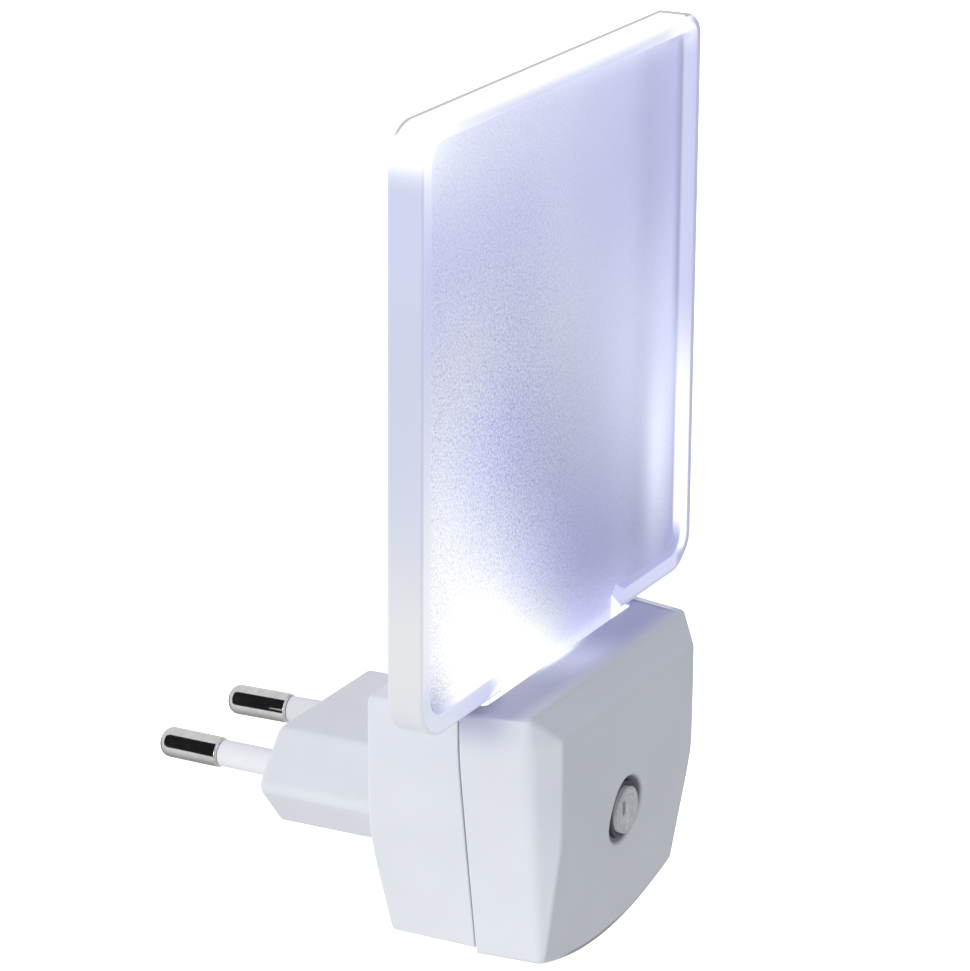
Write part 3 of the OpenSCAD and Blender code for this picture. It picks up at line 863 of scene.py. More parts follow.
def casing_material():
    m = Mat("satin_white_abs")
    x, y, z = m.xyz()
    d = m.mul(y, -1.0)
    broad = m.noise(14.0, 2, 0.5)
    fine = m.noise(0.16, 3, 0.6)
    spark = m.noise(0.4, 2, 0.5)
    col = m.mix(m.ramp(broad, 0.35, 0.65), (0.755, 0.765, 0.805), (0.775, 0.786, 0.825))
    # a little dust in the parting line
    seam = m.gauss(y, -PART_D, 0.35)
    col = m.mix(m.mul(seam, m.ramp(m.noise(1.2, 3, 0.6), 0.45, 0.75), 0.16), col, (0.60, 0.61, 0.66))
    # painted shade: the sensor's well is darkened, most deeply inside, and the shelf in front of the panel gets a
    # painted violet shade where the panel keeps the light off and tints it blue
    zz = m.math("SUBTRACT", z, SENS_Z)
    rad = m.math("SQRT", m.add(m.mul(x, x), m.mul(zz, zz)))
    painted_well_shade = m.mul(m.ramp(rad, 4.95, 4.2), m.ramp(d, 40.0, 41.0))
    col = m.mix(painted_well_shade, col, m.mix(m.ramp(rad, 4.62, 4.36), (0.43, 0.42, 0.49), (0.17, 0.165, 0.205)))
    edge = m.add(x, m.mul(m.math("SUBTRACT", d, PART_D), 0.24))
    top = m.mul(m.ramp(z, 17.9, 18.3), m.ramp(d, 42.6, 38.6), m.ramp(d, 32.55, 32.75))
    side = m.mul(m.ramp(x, -21.4, -22.6), m.ramp(z, 12.6, 18.6), m.ramp(d, 41.0, 36.0), m.ramp(d, 32.55, 32.75))
    # spill: the panel's glow painted as a lighter patch in the middle of the painted shade
    spill = m.gauss(x, -0.5, 6.5, d, 37.5, 4.6)
    shade = m.mix(m.ramp(x, -14.0, 10.0), (0.435, 0.44, 0.62), (0.50, 0.505, 0.70))
    # the far top lip is kept out of the painted shade and shows as a painted highlight
    lip = m.ramp(edge, 23.0, 23.3)
    col = m.mix(m.mul(m.math("MAXIMUM", top, m.mul(side, 0.9)), m.math("SUBTRACT", 1.0, m.math("MAXIMUM", m.mul(spill, 0.6), lip))), col, shade)
    # painted shade: a thin dark line along the inner edge of the far top lip
    line = m.mul(m.gauss(edge, 22.85, 0.26), m.ramp(z, 17.9, 18.3), m.ramp(d, 41.0, 39.5))
    col = m.mix(m.mul(line, 0.6), col, (0.25, 0.25, 0.28))
    # painted shade: the facets beside and above the face are darkened where less light reaches them, and a painted
    # shadow runs along the turned-under foot
    facet_shade = m.math("MAXIMUM", m.mul(m.ramp(d, 40.6, 42.0), m.ramp(x, -18.8, -20.0), m.ramp(z, 14.0, 4.0)), m.mul(m.ramp(z, 13.6, 16.6), m.ramp(d, 38.0, 40.0), 0.6))
    col = m.mix(m.mul(facet_shade, 0.42), col, (0.62, 0.63, 0.69))
    keel_shade = m.math("SUBTRACT", z, m.math("MULTIPLY_ADD", m.mul(x, x), 0.00882, -18.05))
    col = m.mix(m.mul(m.ramp(keel_shade, 0.26, 0.10), m.ramp(d, 39.5, 40.2), m.ramp(x, -15.0, -9.0), m.ramp(x, 8.0, 0.0, 0.35, 1.0), 0.7), col, (0.22, 0.22, 0.25))
    # painted shade on the rear shell, high up under the overhang of the panel
    col = m.mix(m.mul(m.ramp(z, 3.0, 13.0), m.ramp(d, 32.4, 32.0), m.ramp(x, -20.0, -23.0), 0.6), col, (0.695, 0.705, 0.75))
    # painted light: the LEDs' light painted as a glow on the edge and the walls of the slot, the panel's light painted
    # on the shelf in front of it, and a painted highlight on the far lip
    ax = m.math("ABSOLUTE", x)
    lit = m.mul(m.ramp(z, 18.0, 18.4), m.gauss(x, -1.0, 5.0, d, 34.5, 0.62))
    slot = m.mul(m.ramp(z, 18.35, 18.15), m.ramp(z, 15.0, 16.0), m.ramp(ax, 21.6, 21.3), m.ramp(d, 29.5, 29.8), m.ramp(d, 34.8, 34.6))
    painted_spill_glow = m.mul(m.ramp(z, 18.0, 18.4), m.ramp(d, 41.4, 38.0), spill)
    painted_lip_highlight = m.mul(lip, m.ramp(z, 18.1, 18.4), m.ramp(d, 40.5, 39.0), m.ramp(d, 32.6, 33.0))
    emit = m.add(m.mul(lit, 0.75), m.mul(slot, 0.8), m.mul(painted_spill_glow, 0.10), m.mul(painted_lip_highlight, 0.10))
    m.set(base=col, rough=m.add(0.40, m.mul(fine, 0.08), m.mul(broad, 0.05)), emit=m.rgb(emit, emit, m.add(emit, m.mul(painted_spill_glow, 0.07))), power=1.0,
          normal=m.bump(m.add(fine, m.mul(spark, 0.5)), 0.006, 0.7), spec=0.45)
    return m.mat


# Where the light guide glows: centre and spread in x, centre and spread in z (mm),
# and the light it adds there. Lit core, plume up the left, dim lower right, bright
# band along the right rim, top edge, and broad fields between them. The base and the
# first twelve were fitted to the panel's tones in the photo, the rest set one by one.
GLOW_BASE = (0.327, 0.347, 0.596)
GLOW = [
    (-11.4, 11.5, 18.0, 8.5, (0.821, 0.808, 0.266)),
    (30.1, 22.6, 46.7, 25.0, (0.458, 0.494, 0.540)),
    (-26.2, 17.7, 41.4, 21.7, (0.611, 0.571, -0.012)),
    (-15.7, 21.1, 29.3, 11.4, (0.175, 0.204, 0.402)),
    (-22.5, 16.0, 47.1, 13.2, (-0.284, -0.233, 0.221)),
    (30.6, 3.6, 35.5, 11.1, (0.253, 0.274, 0.265)),
    (20.1, 50.0, 30.6, 45.0, (-0.431, -0.465, -0.603)),
    (-42.0, 45.5, 90.5, 9.2, (0.190, 0.201, 0.066)),
    (29.0, 31.7, 92.0, 2.0, (0.149, 0.151, 0.092)),
    (26.1, 4.2, 61.8, 45.0, (-0.079, -0.084, -0.111)),
    (8.4, 20.1, 17.8, 6.9, (0.312, 0.343, 0.426)),
    (1.3, 14.0, 60.0, 23.3, (0.132, 0.136, 0.080)),
    (-22.0, 9.0, 26.5, 6.5, (0.300, 0.280, 0.150)),
    (-34.0, 5.0, 20.5, 4.2, (-0.330, -0.315, -0.200)),
    (-29.0, 10.0, 37.0, 12.0, (0.000, 0.000, 0.060)),
    (-31.0, 6.0, 44.0, 9.0, (0.070, 0.065, 0.030)),
    (-36.0, 7.0, 92.5, 4.6, (0.260, 0.250, 0.150)),
    (32.0, 4.5, 73.0, 21.0, (-0.050, -0.050, -0.060)),
]


def panel_material():
    m = Mat("frosted_lit_acrylic")
    x, y, z = m.xyz()
    d = m.mul(y, -1.0)
    ax = m.math("ABSOLUTE", x)
    one = lambda v: m.math("SUBTRACT", 1.0, v)

    def scaled(color, k):
        n = m.node("ShaderNodeVectorMath", operation="SCALE")
        n.inputs[0].default_value = color
        m.put(n.inputs["Scale"], k)
        return n.outputs[0]

    def vec(op, p, q):
        n = m.node("ShaderNodeVectorMath", operation=op)
        for sock, v in zip(n.inputs, (p, q)):
            m.put(sock, v)
        return n.outputs[0]

    field = None
    for cx, sx, cz, sz, color in GLOW:
        u = m.math("MULTIPLY_ADD", x, 1 / sx, -cx / sx)
        w = m.math("MULTIPLY_ADD", z, 1 / sz, -cz / sz)
        k = m.math("POWER", 0.367879, m.math("MULTIPLY_ADD", w, w, m.mul(u, u)))
        part = scaled(color, k)
        field = part if field is None else vec("ADD", field, part)
    field = vec("ADD", field, GLOW_BASE)

    # t is the distance in from the outer wall, d the height above the back
    rc = m.math("MULTIPLY_ADD", m.mul(m.ramp(x, 0.0, 0.1), m.ramp(z, 56.6, 56.7)), PAN_R2 - 5.0, 5.0)
    px = m.math("SUBTRACT", m.add(ax, rc), PAN_W)
    pz = m.math("SUBTRACT", m.add(m.math("ABSOLUTE", m.math("SUBTRACT", z, 56.65)), rc), 37.5)
    qx, qz = m.math("MAXIMUM", px, 0.0), m.math("MAXIMUM", pz, 0.0)
    t = m.math("SUBTRACT", rc, m.math("SQRT", m.add(m.mul(qx, qx), m.mul(qz, qz))))
    t = m.math("SUBTRACT", t, m.math("MINIMUM", m.math("MAXIMUM", px, pz), 0.0))
    gap = m.mul(m.ramp(ax, 17.6, 17.2), m.ramp(z, 30.0, 28.0))
    front = m.ramp(d, 32.6, 33.1)
    tray = m.mul(m.math("MAXIMUM", m.ramp(t, 2.5, 2.8), gap), front)
    skirt = m.mul(m.ramp(t, 0.42, 0.12), one(gap), m.math("MAXIMUM", m.ramp(x, 0.0, -10.0), one(front)))
    rim = m.mul(m.ramp(t, 2.6, 2.3), m.ramp(d, 34.15, 34.45), one(gap))
    wall = m.mul(m.ramp(t, 2.15, 2.25), m.ramp(t, 2.62, 2.5), m.ramp(d, 34.6, 34.4), one(gap))
    right = m.ramp(x, 30.0, 33.5)
    low = m.ramp(z, 26.5, 22.0)
    foot = m.ramp(z, 22.4, 20.3)

    # outer side faces, in z only
    side = vec("ADD", (0.195, 0.205, 0.285), scaled((0.145, 0.130, -0.010), m.gauss(z, 30.0, 15.0)))
    side = vec("ADD", side, scaled((0.62, 0.62, 0.50), m.ramp(z, 86.0, 94.0)))
    side = vec("ADD", side, scaled((0.0, 0.005, 0.05), m.gauss(z, 82.0, 9.0)))
    # right rim: lilac above, over-bright beside the lit part, lilac again at its foot
    lit = m.mul(m.ramp(z, 59.0, 39.0), m.ramp(z, 20.0, 22.2))
    rim_r = vec("ADD", (0.352, 0.362, 0.570), scaled((0.50, 0.50, 0.30), lit))
    rim_r = vec("ADD", rim_r, scaled((-0.16, -0.18, -0.20), m.ramp(z, 22.3, 20.3)))
    rim_b = m.mix(m.ramp(x, -20.0, -37.0), (0.405, 0.425, 0.595), (0.45, 0.47, 0.52))
    wall_r = vec("ADD", (0.310, 0.320, 0.470), scaled((0.50, 0.50, 0.33), lit))

    glow = field
    glow = m.mix(m.mul(rim, right, m.ramp(z, 92.5, 90.0), one(foot)), glow, rim_r)
    glow = m.mix(m.mul(rim, low, m.ramp(x, 35.6, 33.8)), glow, rim_b)
    glow = m.mix(m.mul(rim, foot, m.ramp(x, 34.0, 36.0)), glow, (0.19, 0.18, 0.36))
    glow = m.mix(m.mul(wall, right, one(low)), glow, wall_r)
    glow = m.mix(m.mul(wall, low, m.ramp(x, -30.0, -10.0)), glow, (0.20, 0.20, 0.38))
    # painted shade in the crease between wall and floor on the right
    crease_shade = m.mul(m.math("MAXIMUM", m.gauss(t, 2.60, 0.32), m.mul(m.gauss(t, 2.60, 1.0), 0.6)), m.ramp(d, 33.8, 33.45), right, m.ramp(z, 23.0, 25.0), m.ramp(z, 92.0, 90.5), front)
    glow = m.mix(m.mul(crease_shade, m.ramp(z, 46.0, 62.0, 0.35, 1.0)), glow, (0.12, 0.13, 0.24))
    # rim ends at the break shine from inside, low down
    cap = m.mul(m.ramp(ax, 18.9, 18.3), m.ramp(d, 33.2, 33.35), m.ramp(d, 34.68, 34.5))
    glow = m.mix(cap, glow, (0.36, 0.37, 0.56))
    rise = m.add(z, m.mul(m.math("SUBTRACT", d, FLOOR_D), 0.8))
    ends = m.mul(m.ramp(rise, 20.75, 20.45), m.ramp(ax, 18.3, 17.9), m.ramp(ax, 17.2, 17.3), m.ramp(d, 33.1, 33.25), m.ramp(d, 34.72, 34.6))
    slant = m.math("SUBTRACT", z, m.mul(x, 0.5))
    fade = m.mul(m.ramp(slant, 30.35, 29.5), m.ramp(x, -22.6, -21.6), m.ramp(x, -17.0, -17.3), m.ramp(z, 23.0, 22.0))
    fade = m.math("MAXIMUM", fade, m.mul(m.ramp(x, -21.0, -17.8, 0.0, 0.8), m.ramp(x, -17.0, -17.3), m.ramp(z, 23.0, 22.0)))
    glow = m.mix(m.math("MAXIMUM", ends, fade), glow, (0.80, 0.80, 0.76))
    # the top edge burns out, most at its corners
    burn = m.mul(m.ramp(z, 86.5, 92.5), m.ramp(x, -29.0, -34.5), m.ramp(t, 2.9, 2.2), front)
    glow = m.mix(burn, glow, (0.80, 0.80, 0.76))
    glow = m.mix(m.mul(m.gauss(t, 2.3, 0.35), m.ramp(z, 89.5, 91.0), front, 0.5), glow, (0.47, 0.49, 0.62))
    glow = m.mix(skirt, glow, side)
    burn = m.math("MAXIMUM", m.ramp(z, 92.3, 94.05), m.mul(m.math("MAXIMUM", m.mul(m.ramp(z, 88.0, 93.0), m.ramp(ax, 10.0, 34.0), 0.45), m.mul(m.ramp(z, 90.6, 92.6), m.ramp(x, 23.0, 32.0), 0.8)), m.ramp(t, 2.9, 2.2)))
    glow = m.mix(m.math("MAXIMUM", burn, m.mul(skirt, m.ramp(z, 88.0, 92.5))), glow, (0.80, 0.80, 0.76))
    glow = m.mix(m.mul(m.ramp(z, 19.15, 18.9), m.ramp(ax, 17.6, 18.4)), glow, (0.80, 0.80, 0.76))
    # the flat back gives off less
    glow = m.mix(m.mul(m.ramp(d, 29.98, 29.86), 0.5), glow, scaled((0.30, 0.30, 0.40), m.ramp(t, 0.0, 2.9, 0.8, 1.0)))
    # painted shade: the emission is cut back on the rounded edges at the top rear and the right, which draws a dark
    # painted outline
    reach = m.ramp(x, -38.0, -32.0, 30.32, 30.84)
    painted_outline = m.mul(m.math("MAXIMUM", m.mul(m.ramp(z, 90.5, 91.5), m.ramp(x, -37.4, -36.2)), m.ramp(x, 37.0, 37.4)), m.ramp(t, 0.9, 0.5), m.ramp(m.math("SUBTRACT", d, reach), 0.12, 0.0))
    turned = m.mul(m.ramp(z, 93.0, 93.3), m.ramp(x, 34.0, 34.3), m.ramp(x, 37.0, 36.0), m.ramp(t, 0.3, 0.15))
    glow = m.mix(m.math("MAXIMUM", painted_outline, turned), glow, (0.15, 0.15, 0.16))
    # painted shade along the right rim's outer front edge and along the lower rim's bottom edge
    painted_outline_right = m.mul(m.ramp(t, 1.2, 0.8), m.ramp(d, 34.2, 34.45), m.ramp(x, 34.5, 37.2))
    glow = m.mix(painted_outline_right, glow, (0.22, 0.22, 0.35))
    painted_outline_bottom = m.mul(m.ramp(t, 0.8, 0.3), m.ramp(z, 21.0, 20.0), m.ramp(d, 34.2, 34.45), m.ramp(x, 15.0, 20.0))
    glow = m.mix(painted_outline_bottom, glow, (0.30, 0.31, 0.38))

    # sparkling grain, strongest towards the lit left side
    g1 = m.noise(0.27, 2, 0.6)
    g2 = m.voronoi(0.38)
    grain = m.add(m.mul(m.math("SUBTRACT", g1, 0.5), 1.7), m.mul(m.math("SUBTRACT", 0.42, g2), 0.6))
    where = m.mul(m.ramp(x, 16.0, -16.0, 0.18, 1.0), tray, m.ramp(z, 88.0, 52.0, 0.42, 1.0))
    cloud = m.mul(m.math("SUBTRACT", m.noise(9.0, 3, 0.55), 0.5), front, 0.035)
    extra = m.add(m.mul(grain, where, 0.46), cloud)
    glow = vec("ADD", glow, scaled((1.0, 1.0, 0.92), extra))
    glow = vec("MINIMUM", vec("MAXIMUM", glow, (0.0, 0.0, 0.0)), (0.80, 0.80, 0.76))

    h = m.add(m.mul(g1, 0.6), m.mul(g2, 0.5))
    m.set(base=(0.42, 0.43, 0.50), rough=m.add(0.30, m.mul(g1, 0.16)), emit=glow, power=1.0,
          normal=m.bump(m.mul(h, tray), 0.06, 0.8), spec=0.4)
    return m.mat


def nickel():
    m = Mat("bright_nickel")
    x, y, z = m.xyz()
    n = m.node("ShaderNodeMapping")
    m.put(n.inputs["Vector"], m.coord)
    n.inputs["Scale"].default_value = (1.0, 0.06, 1.0)
    drawn = m.noise(0.12, 2, 0.5, vec=n.outputs[0])
    smear = m.noise(1.6, 3, 0.55)
    m.set(base=m.mix(m.ramp(smear, 0.35, 0.7), (0.80, 0.79, 0.77), (0.70, 0.695, 0.68)), metal=1.0,
          rough=m.add(0.05, m.mul(m.ramp(smear, 0.4, 0.75), 0.08), m.mul(drawn, 0.03)),
          normal=m.bump(m.add(m.mul(drawn, 0.3), m.noise(0.42, 2, 0.6)), 0.007, 0.9))
    return m.mat


def lens_material():
    m = Mat("clear_acrylic_window")
    x, y, z = m.xyz()
    d = m.mul(y, -1.0)
    zz = m.math("SUBTRACT", z, SENS_Z)
    r = m.math("SQRT", m.add(m.mul(x, x), m.mul(zz, zz)))
    # painted highlights on the turned rings and a painted highlight streak; the bar of the cell behind is drawn dark
    # left of the centre
    face = m.ramp(d, 43.9, 44.1)
    rings = m.mul(m.add(m.gauss(r, 2.45, 0.20), m.mul(m.gauss(r, 1.72, 0.16), 0.9), m.mul(m.gauss(r, 0.95, 0.14), 0.6)), m.ramp(x, -1.6, 0.6, 0.35, 1.0))
    painted_streak_highlight = m.mul(m.gauss(x, -0.25, 0.30), m.ramp(m.math("ABSOLUTE", m.add(zz, 0.5)), 1.9, 0.9))
    bar = m.mul(m.gauss(x, -1.4, 0.36), m.ramp(m.math("ABSOLUTE", m.math("SUBTRACT", zz, 0.75)), 1.15, 0.7), face)
    brim = m.mul(m.gauss(r, 2.82, 0.16), face)
    soft = m.noise(0.8, 2, 0.5)
    col = m.mix(m.ramp(soft, 0.3, 0.7), (0.60, 0.605, 0.63), (0.74, 0.745, 0.77))
    col = m.mix(m.mul(rings, 0.5), col, (0.90, 0.90, 0.92))
    col = m.mix(m.mul(painted_streak_highlight, 0.6), col, (0.95, 0.95, 0.96))
    col = m.mix(m.mul(brim, 0.35), col, (0.45, 0.45, 0.50))
    col = m.mix(m.mul(bar, 0.9), col, (0.13, 0.13, 0.15))
    col = m.mix(m.ramp(d, 43.9, 43.6), col, (0.86, 0.86, 0.88))
    m.set(base=col, rough=m.add(0.16, m.mul(m.noise(0.5, 2), 0.12)), trans=0.12, ior=1.49,
          normal=m.bump(m.noise(0.7, 2), 0.01, 0.5))
    return m.mat


def rubber():
    m = Mat("dark_elastomer")
    m.set(base=m.mix(m.noise(0.8, 3), (0.075, 0.07, 0.09), (0.12, 0.115, 0.135)), rough=0.62,
          normal=m.bump(m.noise(0.15, 2), 0.01))
    return m.mat


def ceramic():
    m = Mat("photocell_face")
    m.set(base=m.mix(m.noise(0.4, 3), (0.62, 0.62, 0.62), (0.72, 0.72, 0.73)), rough=0.55, normal=m.bump(m.noise(0.12, 2), 0.01))
    return m.mat


def track():
    m = Mat("photocell_track")
    m.set(base=m.mix(m.noise(0.3, 2), (0.40, 0.38, 0.38), (0.50, 0.48, 0.48)), rough=0.5)
    return m.mat


def dark_bar():
    m = Mat("photocell_bar")
    m.set(base=m.mix(m.noise(0.3, 2), (0.06, 0.06, 0.07), (0.10, 0.10, 0.11)), rough=0.5)
    return m.mat


def tinned():
    m = Mat("tinned_wire")
    m.set(base=m.mix(m.noise(0.4, 2), (0.68, 0.68, 0.70), (0.80, 0.80, 0.81)), metal=1.0, rough=m.add(0.22, m.mul(m.noise(0.3), 0.15)))
    return m.mat


def zinc():
    m = Mat("zinc_plated_steel")
    n = m.noise(0.7, 4, 0.6)
    m.set(base=m.mix(n, (0.62, 0.63, 0.66), (0.76, 0.76, 0.77)), metal=1.0, rough=m.add(0.24, m.mul(n, 0.2)),
          normal=m.bump(m.noise(0.2, 2), 0.008))
    return m.mat


def brass():
    m = Mat("rolled_brass")
    n = m.node("ShaderNodeMapping")
    m.put(n.inputs["Vector"], m.coord)
    n.inputs["Scale"].default_value = (1.0, 1.0, 0.05)
    rolled = m.noise(0.15, 2, 0.5, vec=n.outputs[0])
    m.set(base=m.mix(m.noise(1.5, 3), (0.80, 0.60, 0.28), (0.70, 0.50, 0.22)), metal=1.0, rough=m.add(0.2, m.mul(rolled, 0.18)),
          normal=m.bump(rolled, 0.01, 0.5))
    return m.mat


def board_material():
    m = Mat("board_solder_mask")
    x, y, z = m.xyz()
    # copper runs under the mask: a soft ladder of bands that bends with low noise
    wob = m.mul(m.math("SUBTRACT", m.noise(7.0, 1), 0.5), 3.0)
    wave = m.math("SINE", m.mul(m.add(x, wob), 2.1))
    runs = m.ramp(wave, 0.15, 0.35)
    edge = m.math("MAXIMUM", m.ramp(m.math("ABSOLUTE", x), 14.5, 14.7), m.ramp(z, 7.3, 7.5))
    lay = m.mul(runs, m.math("SUBTRACT", 1.0, edge))
    m.set(base=m.mix(lay, (0.035, 0.16, 0.075), (0.075, 0.26, 0.12)), rough=m.add(0.32, m.mul(m.noise(0.3), 0.12)),
          normal=m.bump(m.add(m.mul(lay, 1.0), m.mul(m.noise(0.25), 0.2)), 0.03), coat=0.3)
    return m.mat


def banded(name, body, bands, axis_lo, axis_hi):
    """Lacquered axial part with a few plain colour bands across it."""
    m = Mat(name)
    x, y, z = m.xyz()
    col = m.mix(m.noise(0.6, 3), tuple(c * 0.93 for c in body), body)
    span = axis_hi - axis_lo
    for pos, c in bands:
        col = m.mix(m.math("SUBTRACT", 1.0, m.ramp(m.math("ABSOLUTE", m.math("SUBTRACT", x, axis_lo + span * pos)), span * 0.035, span * 0.05)), col, c)
    out = m.math("MAXIMUM", m.ramp(x, axis_lo + 0.02, axis_lo - 0.02), m.ramp(x, axis_hi - 0.02, axis_hi + 0.02))
    m.set(base=m.mix(out, col, (0.72, 0.72, 0.73)), metal=out, rough=m.add(0.33, m.mul(m.noise(0.5), 0.1)), normal=m.bump(m.noise(0.4, 2), 0.01))
    return m.mat


def led_material():
    m = Mat("led_resin")
    x, y, z = m.xyz()
    hot = m.ramp(z, 4.0, 8.6)
    leg = m.ramp(z, 3.42, 3.36)
    emit = m.rgb(m.mul(hot, 1.9), m.mul(hot, 1.95), m.mul(hot, 2.3))
    m.set(base=m.mix(leg, (0.93, 0.90, 0.70), (0.72, 0.72, 0.73)), metal=leg, rough=m.add(0.1, m.mul(m.noise(0.6), 0.08)), emit=emit, power=1.0)
    return m.mat


# ---------------------------------------------------------------------------
# Build the pieces
# ---------------------------------------------------------------------------
CASING = casing_material()
PLUG = plastic("satin_white_plug", (0.735, 0.747, 0.785), 0.42, 0.2, 0.006)
SLEEVE = plastic("sleeve_nylon", (0.80, 0.81, 0.83), 0.40, 0.12, 0.004)
NICKEL, PANEL, LENS, RUBBER = nickel(), panel_material(), lens_material(), rubber()


def put(ob, mats, node):
    ob.data.materials.clear()
    for m in mats if isinstance(mats, (list, tuple)) else [mats]:
        ob.data.materials.append(m)
    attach(ob, "root")
    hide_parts(node)
    return ob


put(front_casing(), CASING, "front_casing")
put(rear_casing(), CASING, "rear_casing")
put(plug_body(), PLUG, "plug_body")
put(pin(-1), NICKEL, "pin_left")
put(pin(1), NICKEL, "pin_right")
put(sleeve(-1), SLEEVE, "sleeve_left")
put(sleeve(1), SLEEVE, "sleeve_right")
put(light_panel(), PANEL, "light_panel")
put(sensor_lens(), LENS, "sensor_lens")
put(sensor_ring(), RUBBER, "sensor_ring")
put(photocell(), [ceramic(), track(), dark_bar(), tinned()], "photocell")
put(joined([screw("s", s * 13.5, 13.2, 22.8, 1.78, 2.6, 36.8, 1.05, 1.4, 1.1, 3.0) for s in (-1, 1)], "casing_screw_pair"),
    zinc(), "casing_screws")
put(joined([screw("s", s * 13.0, 5.8, 35.9, 1.28, 1.8, 41.2, 0.66, 0.9, 0.7, 2.1) for s in (-1, 1)], "board_screw_pair"),
    zinc(), "board_screws")

# CAD nodes that keep their own shape
KEPT = {
    "sensor_shroud": RUBBER,
    "contact_left": brass(), "contact_right": brass(),
    "lead_live": plastic("pvc_brown", (0.20, 0.085, 0.04), 0.4, 0.5, 0.02, 0.08),
    "lead_neutral": plastic("pvc_blue", (0.035, 0.11, 0.36), 0.4, 0.5, 0.02, 0.08),
    "circuit_board": board_material(),
    "led_left": led_material(), "led_centre": led_material(), "led_right": led_material(),
    "led_reflector": plastic("reflector_white", (0.86, 0.86, 0.86), 0.5, 0.3, 0.01),
    "film_capacitor": plastic("film_capacitor_box", (0.74, 0.43, 0.05), 0.38, 0.6, 0.02, 0.05),
    "smoothing_capacitor": plastic("capacitor_shrink_sleeve", (0.03, 0.045, 0.13), 0.3, 0.8, 0.02, 0.1, coat=0.3),
    "bridge_rectifier": plastic("moulded_epoxy", (0.035, 0.035, 0.04), 0.55, 0.25, 0.03, 0.1),
    "switching_transistor": plastic("moulded_epoxy_2", (0.035, 0.035, 0.04), 0.55, 0.25, 0.03, 0.1),
    "fuse_resistor": banded("fuse_lacquer", (0.20, 0.36, 0.28), [(0.2, (0.25, 0.12, 0.05)), (0.4, (0.02, 0.02, 0.02)), (0.6, (0.02, 0.02, 0.02)), (0.85, (0.5, 0.36, 0.1))], 3.6, 11.4),
    "bleed_resistor": banded("resistor_lacquer", (0.58, 0.45, 0.29), [(0.2, (0.25, 0.12, 0.05)), (0.4, (0.02, 0.02, 0.02)), (0.6, (0.65, 0.5, 0.02)), (0.85, (0.5, 0.36, 0.1))], -9.8, -3.8),
    "zener_diode": banded("diode_glass", (0.55, 0.14, 0.05), [(0.12, (0.03, 0.03, 0.03))], 4.6, 8.6),
}
for name, mat in KEPT.items():
    o = NODES[name]
    if not o.material_slots:
        o.data.materials.append(mat)
    for s in o.material_slots:
        s.material = mat

# ---------------------------------------------------------------------------
# Stage: pale floor, soft studio light, dark card that only reflections see
# ---------------------------------------------------------------------------
bm = bmesh.new()
bmesh.ops.create_grid(bm, x_segments=1, y_segments=1, size=3.0)
me = bpy.data.meshes.new("floor")
bm.to_mesh(me)
bm.free()
floor = bpy.data.objects.new("floor", me)
floor.location = (0, 0, -0.045)
SC.collection.objects.link(floor)
fm = Mat("pale_floor")
fm.set(base=(0.9, 0.9, 0.9), rough=0.9, emit=(1.0, 1.0, 1.0), power=1.0)
floor.data.materials.append(fm.mat)
floor.visible_diffuse = False
floor.visible_glossy = False
floor.visible_transmission = False
floor.visible_shadow = False

# Studio: bright sweep behind, dimmer room in front, and a dark flag up on the
# left that only mirror-like metal picks up.
world = bpy.data.worlds.new("studio")
SC.world = world
world.use_nodes = True
wt = world.node_tree
wt.nodes.clear()


def wnode(kind, *ins, **props):
    n = wt.nodes.new(kind)
    for k, v in props.items():
        setattr(n, k, v)
    for sock, v in zip(n.inputs, ins):
        if isinstance(v, bpy.types.NodeSocket):
            wt.links.new(v, sock)
        elif v is not None:
            sock.default_value = v
    return n.outputs[0]


def wmath(op, a, b=0.0):
    return wnode("ShaderNodeMath", a, b, operation=op)


def wramp(v, lo, hi):
    n = wt.nodes.new("ShaderNodeMapRange")
    n.interpolation_type = "SMOOTHSTEP"
    wt.links.new(v, n.inputs["Value"])
    n.inputs["From Min"].default_value = lo
    n.inputs["From Max"].default_value = hi
    return n.outputs[0]


def wmix(fac, a, b):
    n = wt.nodes.new("ShaderNodeMix")
    n.data_type = "RGBA"
    for sock, v in ((n.inputs[0], fac), (n.inputs[6], a), (n.inputs[7], b)):
        if isinstance(v, bpy.types.NodeSocket):
            wt.links.new(v, sock)
        else:
            sock.default_value = (*v, 1.0) if isinstance(v, tuple) else v
    return n.outputs[2]


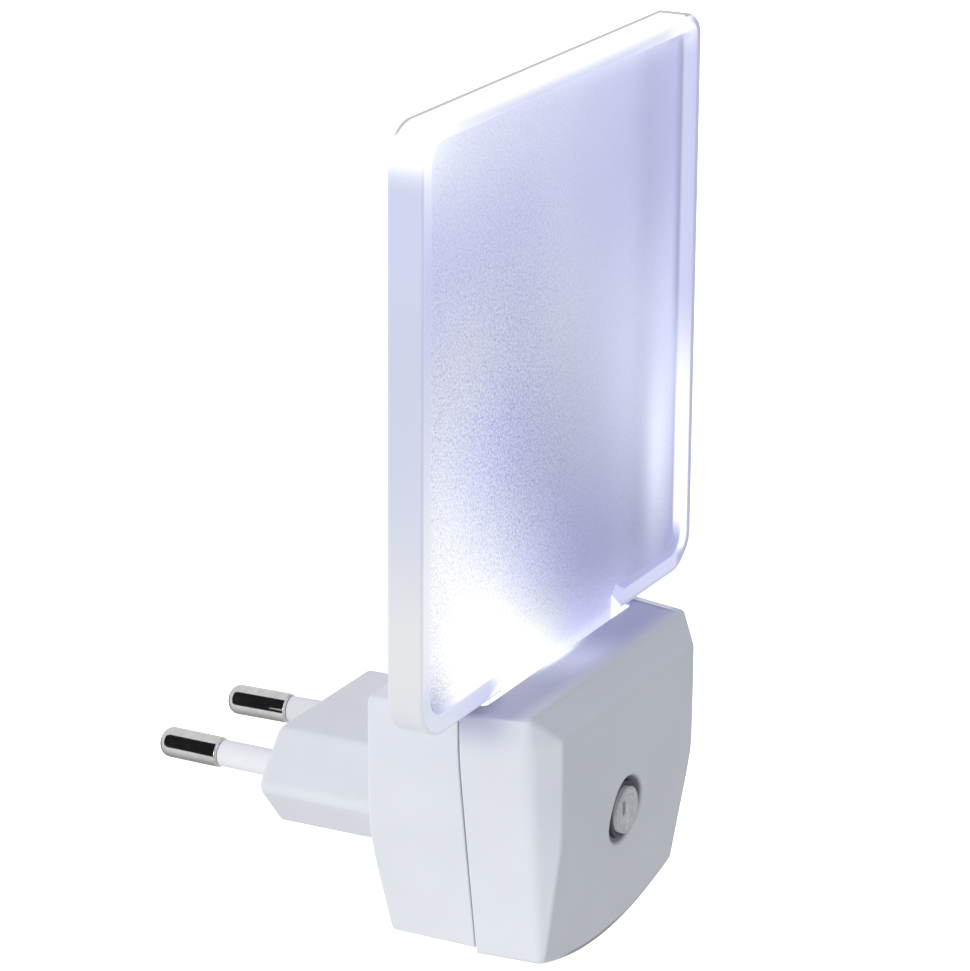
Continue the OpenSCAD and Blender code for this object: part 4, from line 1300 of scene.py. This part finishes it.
way = wt.nodes.new("ShaderNodeTexCoord").outputs["Generated"]
sep = wt.nodes.new("ShaderNodeSeparateXYZ")
wt.links.new(way, sep.inputs[0])
wx, wy, wz = sep.outputs
path = wt.nodes.new("ShaderNodeLightPath")
dome = wmix(wramp(wy, -0.45, 0.45), (0.530, 0.545, 0.570), (0.955, 0.97, 0.985))
turn = wmath("ARCTAN2", wz, wmath("MULTIPLY", wx, -1.0))
across = wmath("MULTIPLY", wmath("SUBTRACT", turn, 0.46), 1.03)
along = wmath("MULTIPLY", wmath("MAXIMUM", wmath("SUBTRACT", wy, 0.43), 0.0), 2.9)
reach = wmath("SQRT", wmath("ADD", wmath("MULTIPLY", across, across), wmath("MULTIPLY", along, along)))
flag = wmath("MULTIPLY", wramp(reach, 1.0, 0.90), wramp(wy, 0.14, 0.24))
lowfade = wmix(wramp(turn, -1.9, -0.45), (0.36, 0.36, 0.36), (0.80, 0.80, 0.80))
shine = wmix(wramp(wy, 0.05, 0.3), dome, wmix(wramp(turn, 0.0, 0.05), lowfade, (0.76, 0.76, 0.77)))
shine = wmix(flag, shine, (0.012, 0.012, 0.014))
light = wmix(path.outputs["Is Glossy Ray"], dome, shine)
light = wmix(path.outputs["Is Camera Ray"], light, (1.0, 1.0, 1.0))
back = wt.nodes.new("ShaderNodeBackground")
wt.links.new(light, back.inputs[0])
wo = wt.nodes.new("ShaderNodeOutputWorld")
wt.links.new(back.outputs[0], wo.inputs[0])


def area(name, direction, dist, size, power, color):
    la = bpy.data.lights.new(name, "AREA")
    la.shape = "DISK"
    la.size = size
    la.energy = power
    la.color = color
    o = bpy.data.objects.new(name, la)
    d = Vector(direction).normalized()
    o.location = d * dist + Vector((0, -0.03, 0.03))
    o.rotation_mode = "QUATERNION"
    o.rotation_quaternion = (-d).to_track_quat("-Z", "Y")
    SC.collection.objects.link(o)
    return o


area("key_left", (-1.0, -0.03, 0.05), 1.3, 0.7, 5.2, (0.98, 0.985, 1.0))

# camera at the photograph's viewing angle
cam_data = bpy.data.cameras.new("camera")
cam_data.sensor_width = 36.0
cam_data.sensor_fit = "AUTO"
cam_data.lens = 4271.3 * 36.0 / 971.0
cam_data.clip_start = 0.01
cam_data.clip_end = 20.0
cam = bpy.data.objects.new("camera", cam_data)
R = ((0.452160, -0.891915, 0.006326), (-0.272855, -0.145070, -0.951055), (0.849177, 0.428302, -0.308958))
right, down, fwd = (Vector(r).normalized() for r in R)
rot = Matrix((
    (right.x, -down.x, -fwd.x, -0.457035),
    (right.y, -down.y, -fwd.y, -0.253977),
    (right.z, -down.z, -fwd.z, 0.205400),
    (0, 0, 0, 1),
))
cam.matrix_world = rot
SC.collection.objects.link(cam)
SC.camera = cam

SC.view_settings.view_transform = "Standard"
SC.view_settings.look = "None"
SC.view_settings.exposure = 0.0
SC.view_settings.gamma = 1.0
